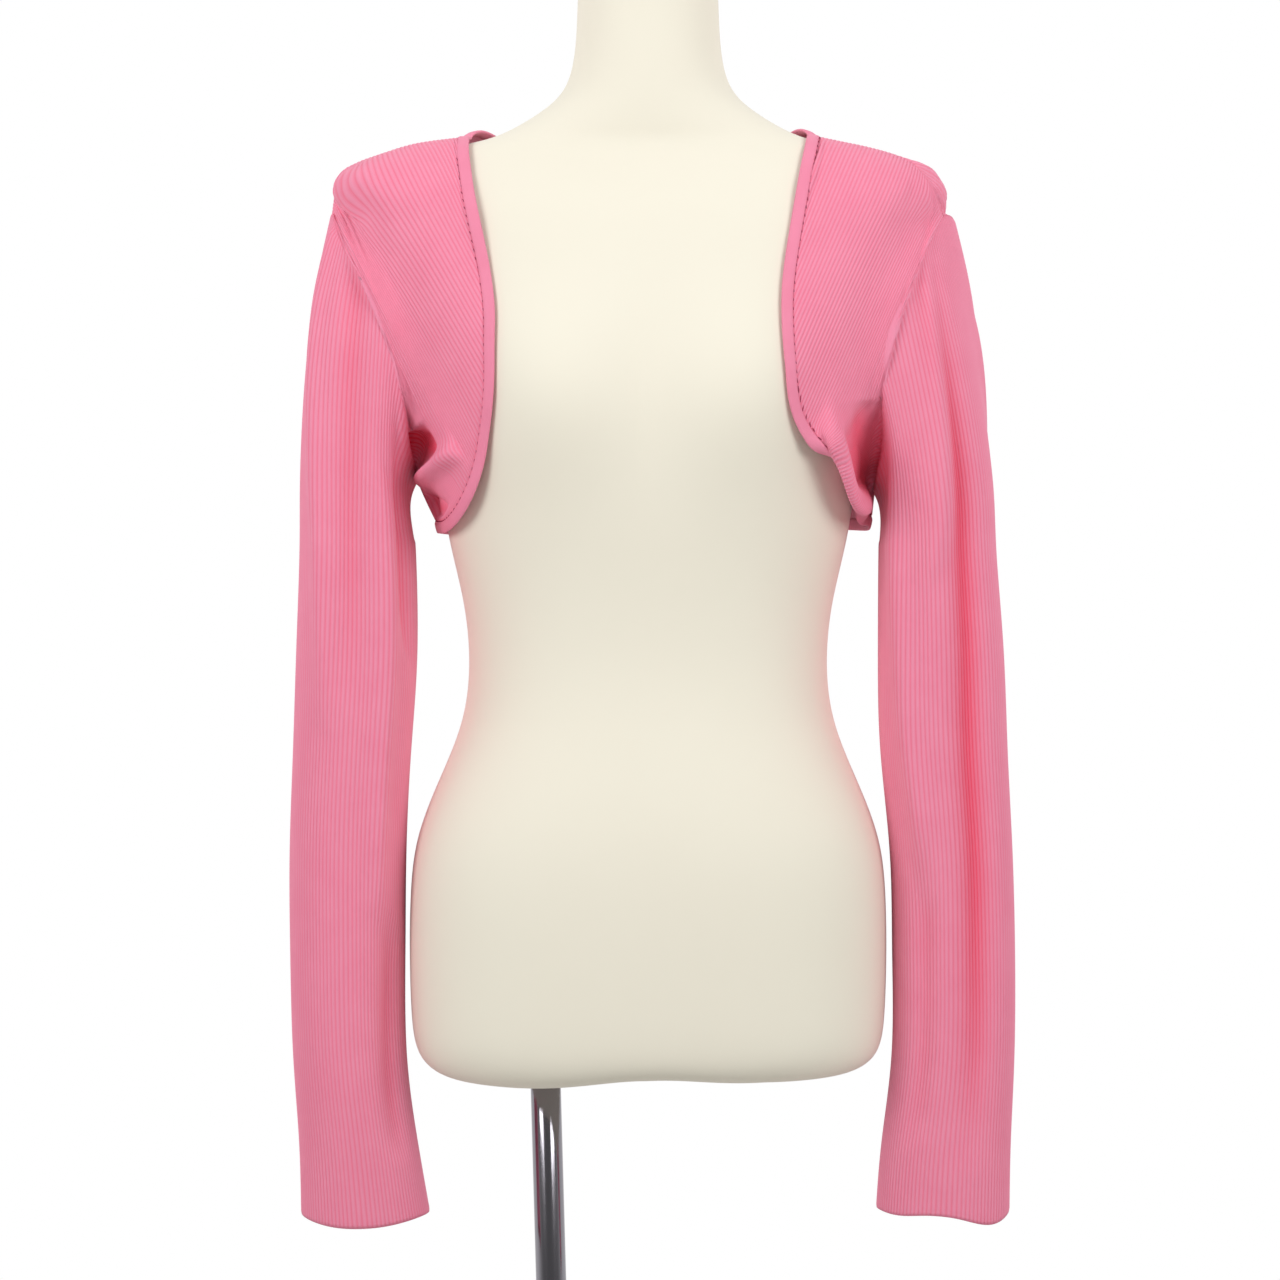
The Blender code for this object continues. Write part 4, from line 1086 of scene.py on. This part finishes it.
# %% [markdown]
# ## The edge band
#
# One narrow band runs round the whole opening: down the right front, under the back, up the left
# front and round the neck. It is a rounded strip of plain knit, linked on. Its section is carried
# along the seam line, and it faces the way that the form does there. Where the front's edge rolls
# under, the band turns back with it. A bevelled curve is quicker to draw, but it can't be told
# which way to face at each point.

# %% Edge band
BAND_WIDTH, BAND_THICKNESS, BAND_STEPS, BAND_SIDES = 8.0 * MM, 2.6 * MM, 640, 16
BAND_SQUARE, BAND_CROWN = 3.0, 0.25  # the section's corners, and how much its outer edge thins
BAND_TUCK = radians(165)  # how far the band turns under behind the roll
EDGE_STEP, SMOOTHINGS = 3, 6  # seam points left out, and rounds of smoothing for the facing
MM_PER_RADIAN = 3  # of the knit round the band's section


def band_frame(count):
    """The seam line as a closed curve, with the directions across the band and out of it."""
    fronts = seam["right", "edge"][::EDGE_STEP], seam["left", "edge"][::-EDGE_STEP]
    runs = fronts[0], seam["hem"], fronts[1], seam["neck"][::-1]
    line = np.concatenate([points[:-1] for points in runs])
    line = read(line, np.arange(count) * len(line) / count, closed=True)
    ahead = unit(np.roll(line, -1, axis=0) - np.roll(line, 1, axis=0))
    way = nearest(drape, line)[1]
    for _ in range(SMOOTHINGS):
        way = way + np.roll(way, 1, axis=0) + np.roll(way, -1, axis=0)
    across = unit(np.cross(unit(way), ahead))
    outward = np.cross(ahead, across)
    _, weight, out, lift = roll_frame(line)
    turn_in, turn_out = np.cos(BAND_TUCK * weight), np.sin(BAND_TUCK * weight)
    tucked = turn_in * across - turn_out * outward
    return line + lift * out, ahead, tucked, turn_in * outward + turn_out * across


def carried(line, across, outward, section):
    """A section of (a, b) points carried along a line: line + a x across + b x outward."""
    a, b = section[:, 0, None], section[:, 1, None]
    return line[:, None] + a * across[:, None] + b * outward[:, None]


line, ahead, across, outward = band_frame(BAND_STEPS)
turned = np.linspace(0, 2 * pi, BAND_SIDES, endpoint=False)
a, b = oval(turned, BAND_SQUARE)
crown = BAND_THICKNESS / 2 * b * (1 - BAND_CROWN * a)
section = np.stack([BAND_WIDTH / 2 * (1 + a), crown], axis=1)
rings = carried(line, across, outward, section)
far = lengths(line)[:, None] / MM
around = np.broadcast_to(turned[None] * MM_PER_RADIAN, rings.shape[:2])
uv = np.stack([around, np.broadcast_to(far, around.shape)], axis=2)
quads = flipped(grid_faces(BAND_STEPS, BAND_SIDES, closed=True, rows_closed=True)).tolist()
band = make("edge_band_knit", rings.reshape(-1, 3), quads, uv.reshape(-1, 2))
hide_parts("edge_band")
band_length = lengths(line)[-1]
print("band length in mm:", round(band_length / MM))

# %% [markdown]
# ## Painted shadows in the row of linking loops
#
# The band is linked on stitch by stitch, and between the stitches small slanted gaps show dark.
# Their shade is painted: each gap is a small bead in a dark shadow colour. One bead is worked out
# and set down along the seam with one array sum. Where the edge begins to roll the gaps are longer
# and lean the other way, like commas, and on the roll itself they are tucked out of sight, so none
# is made.

# %% Painted shadows of the linking gaps
# Sizes of the dark beads of painted shadow, one for each gap between linking stitches.
LOOP_SPACING, LOOP_LENGTH, LOOP_WIDTH, LOOP_RISE = 4.2 * MM, 3.6 * MM, 0.9 * MM, 0.35 * MM
LOOP_SLANT, COMMA_SLANT, COMMA_LONGER = 0.45, 1.1, 0.8  # sideways for each step along
COMMA_Z, COMMA_SPREAD, COMMA_SHIFT = 1158 * MM, 15 * MM, 2.0 * MM
HIDDEN = 0.45  # the roll's weight from which the loops are out of sight
BEAD_SIDES, BEAD_TILTS = 6, (0.5, 1.2, 1.95, 2.65)  # the tilts are in radians from the bead's tip


def bead_faces(count):
    """Faces of `count` beads: rings of quads and a fan at each tip, as one array for each kind."""
    first, second = np.arange(BEAD_SIDES), (np.arange(BEAD_SIDES) + 1) % BEAD_SIDES
    tip = len(BEAD_TILTS) * BEAD_SIDES
    quads = flipped(grid_faces(len(BEAD_TILTS), BEAD_SIDES, rows_closed=True))
    last = tip - BEAD_SIDES
    near = np.stack([0 * first + tip, second, first], axis=1)
    far = np.stack([0 * first + tip + 1, last + first, last + second], axis=1)
    moves = (tip + 2) * np.arange(count)[:, None, None]
    kinds = [(kind + moves).reshape(-1, kind.shape[1]).tolist() for kind in (quads, near, far)]
    return sum(kinds, [])


print("faces of one loop:", len(bead_faces(1)))

# %% Set the painted gap shadows down
places = np.linspace(0, BAND_STEPS, int(band_length / LOOP_SPACING), endpoint=False)
places = places[roll_weight(read(line, places, closed=True)) < HIDDEN]
spots, ways = read(line, places, closed=True), unit(read(ahead, places, closed=True))
sides, outs = unit(read(across, places, closed=True)), unit(read(outward, places, closed=True))
turned = np.linspace(0, 2 * pi, BEAD_SIDES, endpoint=False)
tilt, turned = np.meshgrid(BEAD_TILTS, turned, indexing="ij")
ball = np.stack([np.sin(tilt) * np.cos(turned), np.sin(tilt) * np.sin(turned), np.cos(tilt)], axis=2)
ball = np.concatenate([ball.reshape(-1, 3), [(0, 0, 1), (0, 0, -1)]])
comma = np.exp(-(((spots[:, 2:] - COMMA_Z) / COMMA_SPREAD) ** 2))
comma = comma * (spots[:, :1] > 0) * (spots[:, 1:2] < 0)
slant = unit(ways + (LOOP_SLANT - COMMA_SLANT * comma) * sides)
spots = spots - comma * COMMA_SHIFT * sides
bead = (
    spots[:, None]
    + ball[None, :, 2:] * ((1 + COMMA_LONGER * comma) * slant)[:, None] * LOOP_LENGTH / 2
    + ball[None, :, :1] * np.cross(outs, slant)[:, None] * LOOP_WIDTH / 2
    + (ball[None, :, 1:2] * LOOP_WIDTH / 2 + LOOP_RISE) * outs[:, None]
)
# Each bead is painted shadow for one gap in the linking.
loops = make("linking_gap_painted_shadows", bead.reshape(-1, 3), bead_faces(len(places)))
print("loops:", len(places))

# %% [markdown]
# ## Pole, collar and base
#
# The stand's metal parts are turned: each is a profile of radius and height, swept round an axis.
# The pole leans, so the axis shifts sideways with height. Small chamfers catch the light. Primitive
# cylinders would have sharp edges, which real metal never has.

# %% Stand
POLE_RADIUS, POLE_WALL = 10 * MM, 1.5 * MM
POLE_TOP_X, POLE_TOP_Z, POLE_LEAN = -68 * MM, 735 * MM, radians(1.6)
SOCKET_DEPTH, SOCKET_CLEARANCE = 90 * MM, 0.4 * MM
BASE_RADIUS, BASE_THICKNESS = 160 * MM, 9 * MM
COLLAR_RADIUS, COLLAR_HEIGHT, FOOT = 19 * MM, 32 * MM, 9.3 * MM
POLE_CHAMFER, COLLAR_CHAMFER, BASE_CHAMFER = 0.3 * MM, 1.2 * MM, 1 * MM
BASE_ROUND, BASE_BEND, BASE_CENTRE = 3 * MM, 0.9 * MM, 0.5 * MM


def turned_piece(name, profile, node, leaning=True, columns=96):
    """A closed profile of (radius, height) swept round the pole's axis, or round the base's."""
    t = np.linspace(0, 2 * pi, columns, endpoint=False)[:, None]
    r, z = np.array(profile).T
    shift = POLE_TOP_X + (POLE_TOP_Z - z) * tan(POLE_LEAN) if leaning else 0 * z
    points = np.stack([r * np.cos(t) + shift, r * np.sin(t), z + 0 * t], axis=2)
    faces = grid_faces(columns, len(z), closed=True, rows_closed=True).tolist()
    made = make(name, points.reshape(-1, 3), faces)
    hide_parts(node)
    return made


def chamfered(outer, inner, low, high, edge):
    """Profile of a tube or disc from its lower inner corner, with four small chamfers."""
    foot = [(inner + edge, low), (outer - edge, low), (outer, low + edge), (outer, high - edge)]
    top = [(outer - edge, high), (inner + edge, high), (inner, high - edge), (inner, low + edge)]
    return foot + top


# %% Turn the pole, the collar and the base plate
pole_high = POLE_TOP_Z + SOCKET_DEPTH - POLE_CHAMFER
pole_profile = chamfered(POLE_RADIUS, POLE_RADIUS - POLE_WALL, FOOT, pole_high, POLE_CHAMFER)
pole = turned_piece("pole_tube", pole_profile, "pole")
bore = POLE_RADIUS + SOCKET_CLEARANCE
collar_profile = chamfered(COLLAR_RADIUS, bore, FOOT, FOOT + COLLAR_HEIGHT, COLLAR_CHAMFER)
collar = turned_piece("pole_foot_collar", collar_profile, "pole_collar")
base_profile = [
    (BASE_CENTRE, 0),
    (BASE_RADIUS - BASE_CHAMFER, 0),
    (BASE_RADIUS, BASE_CHAMFER),
    (BASE_RADIUS, BASE_THICKNESS - BASE_ROUND),
    (BASE_RADIUS - BASE_BEND, BASE_THICKNESS - BASE_BEND),
    (BASE_RADIUS - BASE_ROUND, BASE_THICKNESS),
    (BASE_CENTRE, BASE_THICKNESS),
]
base = turned_piece("base_disc", base_profile, "base_plate", leaning=False, columns=160)

# %% [markdown]
# ## Finishes
#
# Colours are written as on a paint card, in sRGB hex, and one function turns them to linear light.
# One more adds a node with its settings and its links.

# %% Material helpers


def colour(hex_code):
    """sRGB hex to linear: c/12.92 below 0.04045, else ((c+0.055)/1.055)^2.4."""
    c = np.array([int(hex_code[k : k + 2], 16) for k in (1, 3, 5)]) / 255
    return (*np.where(c <= 0.04045, c / 12.92, ((c + 0.055) / 1.055) ** 2.4).tolist(), 1.0)


def node(tree, kind, settings=None, **inputs):
    """Adds a node, sets its properties, and sets or links its inputs by name or number."""
    made = tree.nodes.new(kind)
    for key, value in (settings or {}).items():
        setattr(made, key, value)
    for key, value in inputs.items():
        socket = made.inputs[int(key[1:])] if key[1:].isdigit() else made.inputs[key.replace("_", " ")]
        if isinstance(value, bpy.types.NodeSocket):
            tree.links.new(value, socket)
        else:
            socket.default_value = value
    return made


def finish(name, **sockets):
    """A new Principled material whose plain values are set straight on the shader."""
    made = bpy.data.materials.new(name)
    made.use_nodes = True
    shader = made.node_tree.nodes["Principled BSDF"]
    for key, value in sockets.items():
        shader.inputs[key.replace("_", " ")].default_value = value
    return made, made.node_tree, shader


def put_on(material, *objects):
    """Gives each object this one material."""
    for item in objects:
        item.data.materials.clear()
        item.data.materials.append(material)


print("mid grey in linear light:", round(colour("#808080")[0], 3))

# %% [markdown]
# ## Rib knit
#
# The yarn is a soft cotton and viscose in a warm pink. It scatters light like chalk and has a
# short nap, which gives a pale sheen at grazing angles. Each rib is a column of small V-shaped
# stitches 1.3 mm tall. The V is a wave down the rib, delayed towards the rib's sides. Between the
# ribs, in folds and at seams the shade is painted: the mesh's depth mixes in a darker red shadow
# colour, in place of the redder light that bounces from yarn to yarn there.

# %% Rib knit finish
STITCH, STITCH_DELAY, RIB_WALE, BAND_WALE = 1.3, 1.6, RIB_PITCH, 1.4  # mm, and turns of the wave
FUZZ, FUZZ_SHARE, NAP_HEIGHT = 900.0, 1.5, 0.15 * MM  # fuzz about a millimetre wide
HEATHER, HEATHER_FROM, HEATHER_TO, HEATHER_MOST = 45.0, 0.35, 0.7, 0.35
# Shares of painted shade: how much shadow colour a fold, a groove and a seam mix in.
FOLD_PAINTED_SHADE, GROOVE_PAINTED_SHADE, SEAM_PAINTED_SHADE = 0.75, 0.45, 0.25


def knit_finish(name, body, deep, shadow, wale):
    """Cotton knit: stitches as bump, body and deep colours by heather, and painted shade by depth."""
    made, tree, shader = finish(
        name,
        Roughness=0.88,
        Sheen_Weight=0.25,
        Sheen_Roughness=0.45,
        Sheen_Tint=colour("#FFD9E4"),
        IOR=1.47,
    )
    link = tree.links.new
    add, times, over = {"operation": "ADD"}, {"operation": "MULTIPLY"}, {"operation": "DIVIDE"}
    times_plus, mixed = {"operation": "MULTIPLY_ADD"}, {"data_type": "RGBA"}
    place = node(tree, "ShaderNodeUVMap", {"uv_map": "millimetres"})
    parts = node(tree, "ShaderNodeSeparateXYZ", None, Vector=place.outputs["UV"])
    wide = node(tree, "ShaderNodeMath", over, _0=parts.outputs["X"], _1=wale)
    share = node(tree, "ShaderNodeMath", {"operation": "PINGPONG"}, _0=wide.outputs[0], _1=0.5)
    delay = node(tree, "ShaderNodeMath", times, _0=share.outputs[0], _1=STITCH_DELAY)
    high = node(tree, "ShaderNodeMath", over, _0=parts.outputs["Y"], _1=STITCH)
    phase = node(tree, "ShaderNodeMath", add, _0=high.outputs[0], _1=delay.outputs[0])
    angle = node(tree, "ShaderNodeMath", times, _0=phase.outputs[0], _1=2 * pi)
    wave = node(tree, "ShaderNodeMath", {"operation": "SINE"}, _0=angle.outputs[0])

    where = node(tree, "ShaderNodeTexCoord").outputs["Object"]
    fuzz = node(tree, "ShaderNodeTexNoise", None, Vector=where, Scale=FUZZ, Detail=3.0)
    rough = node(
        tree, "ShaderNodeMath", times_plus, _0=fuzz.outputs["Fac"], _1=FUZZ_SHARE, _2=wave.outputs[0]
    )
    bump = node(
        tree, "ShaderNodeBump", None, Strength=0.35, Distance=NAP_HEIGHT, Height=rough.outputs[0]
    )
    link(bump.outputs["Normal"], shader.inputs["Normal"])

    heather = node(tree, "ShaderNodeTexNoise", None, Vector=where, Scale=HEATHER, Detail=4.0)
    heathered = node(
        tree,
        "ShaderNodeMapRange",
        None,
        Value=heather.outputs["Fac"],
        From_Min=HEATHER_FROM,
        From_Max=HEATHER_TO,
        To_Max=HEATHER_MOST,
    )
    paints = [colour(paint) for paint in (body, deep, shadow)]
    yarn = node(tree, "ShaderNodeMix", mixed, _0=heathered.outputs[0], _6=paints[0], _7=paints[1])
    # Painted shade: the mesh's fold, groove and seam depths mix the shadow colour into the yarn.
    depth = node(tree, "ShaderNodeAttribute", {"attribute_name": "depth"})
    parts = node(tree, "ShaderNodeSeparateXYZ", None, Vector=depth.outputs["Vector"])
    fold_shade = node(tree, "ShaderNodeMath", times, _0=parts.outputs["X"], _1=FOLD_PAINTED_SHADE)
    groove_shade = node(
        tree, "ShaderNodeMath", times_plus, _0=parts.outputs["Y"], _1=GROOVE_PAINTED_SHADE, _2=fold_shade.outputs[0]
    )
    seam_shade = node(
        tree,
        "ShaderNodeMath",
        {"operation": "MULTIPLY_ADD", "use_clamp": True},
        _0=parts.outputs["Z"],
        _1=SEAM_PAINTED_SHADE,
        _2=groove_shade.outputs[0],
    )
    shaded = node(
        tree, "ShaderNodeMix", mixed, _0=seam_shade.outputs[0], _6=yarn.outputs[2], _7=paints[2]
    )
    link(shaded.outputs[2], shader.inputs["Base Color"])
    return made


# The last colour of each knit is its painted shadow colour, mixed in by the mesh's depth.
knit = knit_finish("pink_rib_knit", "#F194B0", "#EC86A4", "#EF4866", RIB_WALE)
band_knit = knit_finish("pink_plain_knit_band", "#EF8CA9", "#E87E9B", "#F04E6C", BAND_WALE)
put_on(knit, *cloth.values())
put_on(band_knit, band)
# The beads' colour is painted shadow, for the shade in the gaps between stitches.
gap_shadow_paint, _, _ = finish("painted_shadow_in_linking_gaps", Base_Color=colour("#A83F5F"), Roughness=0.95)
put_on(gap_shadow_paint, loops)
print("stitches in a 660 mm sleeve:", round(660 / STITCH), "rows of", RIBS["sleeve"], "ribs")

# %% [markdown]
# ## Stretched jersey
#
# The form's cover is a fine ivory jersey, pulled tight, so it is nearly smooth. Its courses are
# about half a millimetre apart, which is too fine to show one by one, so a noise a little coarser
# than that roughens the surface.

# %% Jersey finish
jersey, tree, shader = finish(
    "ivory_stretch_jersey", Roughness=0.8, Sheen_Weight=0.15, Sheen_Roughness=0.5, IOR=1.47
)
IVORY, IVORY_DEEP = colour("#F0EBDB"), colour("#EBE5D4")
CLOUDS, COURSES, COURSE_HEIGHT = 6.0, 1400.0, 0.1 * MM
where = node(tree, "ShaderNodeTexCoord").outputs["Object"]
cloudy = node(tree, "ShaderNodeTexNoise", None, Vector=where, Scale=CLOUDS, Detail=3.0)
tint = node(
    tree, "ShaderNodeMix", {"data_type": "RGBA"}, _0=cloudy.outputs["Fac"], _6=IVORY, _7=IVORY_DEEP
)
tree.links.new(tint.outputs[2], shader.inputs["Base Color"])
courses = node(tree, "ShaderNodeTexNoise", None, Vector=where, Scale=COURSES, Detail=2.0)
bump = node(
    tree, "ShaderNodeBump", None, Strength=0.15, Distance=COURSE_HEIGHT, Height=courses.outputs["Fac"]
)
tree.links.new(bump.outputs["Normal"], shader.inputs["Normal"])
put_on(jersey, form)
print("jersey on:", form.name)

# %% [markdown]
# ## Chrome
#
# The pole is chrome plate on steel, polished and a little dulled by handling. The wiping leaves
# faint streaks that run up the pole, so the noise for its roughness is stretched along Z.

# %% Chrome finish
chrome, tree, shader = finish(
    "polished_chrome_plate", Base_Color=colour("#8C898F"), Metallic=1.0, Roughness=0.12
)
STREAKS, STREAK_STRETCH, SHINIEST, DULLEST = 260.0, (1, 1, 0.02), 0.06, 0.22
where = node(tree, "ShaderNodeTexCoord").outputs["Object"]
stretch = node(tree, "ShaderNodeMapping", None, Vector=where, Scale=STREAK_STRETCH)
streaks = node(tree, "ShaderNodeTexNoise", None, Vector=stretch.outputs[0], Scale=STREAKS, Detail=3.0)
dull = node(
    tree, "ShaderNodeMapRange", None, Value=streaks.outputs["Fac"], To_Min=SHINIEST, To_Max=DULLEST
)
tree.links.new(dull.outputs[0], shader.inputs["Roughness"])
put_on(chrome, pole, collar, base)
print("chrome on:", pole.name, collar.name, base.name)

# %% [markdown]
# ## Studio
#
# A pale floor and two soft lamps a metre wide, one each side of the camera and a little above the
# form, so the shadows are pale and no side of the cloth goes dark. The world is a bright white wall
# behind the cardigan, which burns out as in the picture, a dimmer room in front of it, and a soft
# ceiling. All of it is neutral, and the colours are shown as they are, without a film look.

# %% Floor
FLOOR_SIZE = 6
bpy.ops.mesh.primitive_plane_add(size=FLOOR_SIZE, location=(0, 0, 0))
floor = bpy.context.object
floor.name = "floor"
floor_paint, _, _ = finish("pale_matt_floor", Base_Color=colour("#C9C8C5"), Roughness=0.7)
put_on(floor_paint, floor)
print("floor in metres:", FLOOR_SIZE)

# %% Wall, room and ceiling
BACKDROP, ROOM, CEILING = 1.0, 0.2, 0.4  # strength of the wall behind, the room, and from above
WALL_RISE, CEILING_RISE = (-0.75, 0.5), (0.15, 0.9)  # in Y and Z of the direction looked in
world = bpy.data.worlds.new("white_studio")
bpy.context.scene.world = world
world.use_nodes = True
tree, background = world.node_tree, world.node_tree.nodes["Background"]
way = node(tree, "ShaderNodeTexCoord")
parts = node(tree, "ShaderNodeSeparateXYZ", None, Vector=way.outputs["Generated"])


def rise(value, low, high, start, end):
    """Smooth step of a value from `start` to `end` while it goes from low to high."""
    ends = dict(From_Min=low, From_Max=high, To_Min=start, To_Max=end)
    smooth = {"interpolation_type": "SMOOTHSTEP"}
    return node(tree, "ShaderNodeMapRange", smooth, Value=value, **ends).outputs[0]


wall_light = rise(parts.outputs["Y"], *WALL_RISE, ROOM, BACKDROP)
ceiling = rise(parts.outputs["Z"], *CEILING_RISE, 0, CEILING)
both = node(tree, "ShaderNodeMath", {"operation": "MAXIMUM"}, _0=wall_light, _1=ceiling)
tree.links.new(both.outputs[0], background.inputs["Strength"])
background.inputs["Color"].default_value = (1, 1, 1, 1)
print("wall, room, ceiling:", BACKDROP, ROOM, CEILING)

# %% Lamps
LAMP_SIZE, LAMP_AIM = 1.0, (0, 0, 1.25)
KEY_PLACE, FILL_PLACE = (-1.35, -1.5, 1.95), (1.35, -1.5, 1.95)
KEY_WATTS, FILL_WATTS = 24.5, 23


def soft_lamp(name, place, aim, size, watts):
    """A square lamp that shines from its place to its aim: tilted about X, then turned about Z."""
    lamp = bpy.data.lights.new(name, "AREA")
    lamp.size, lamp.energy = size, watts
    made = bpy.data.objects.new(name, lamp)
    made.location = place
    way = np.array(aim) - np.array(place)
    turn_x = np.arctan2(np.hypot(way[0], way[1]), -way[2])
    made.rotation_euler = (turn_x, 0, np.arctan2(-way[0], way[1]))
    bpy.context.scene.collection.objects.link(made)
    print(name, "watts:", watts)


soft_lamp("key_lamp", KEY_PLACE, LAMP_AIM, LAMP_SIZE, KEY_WATTS)
soft_lamp("fill_lamp", FILL_PLACE, LAMP_AIM, LAMP_SIZE, FILL_WATTS)
bpy.context.scene.view_settings.view_transform = "Standard"
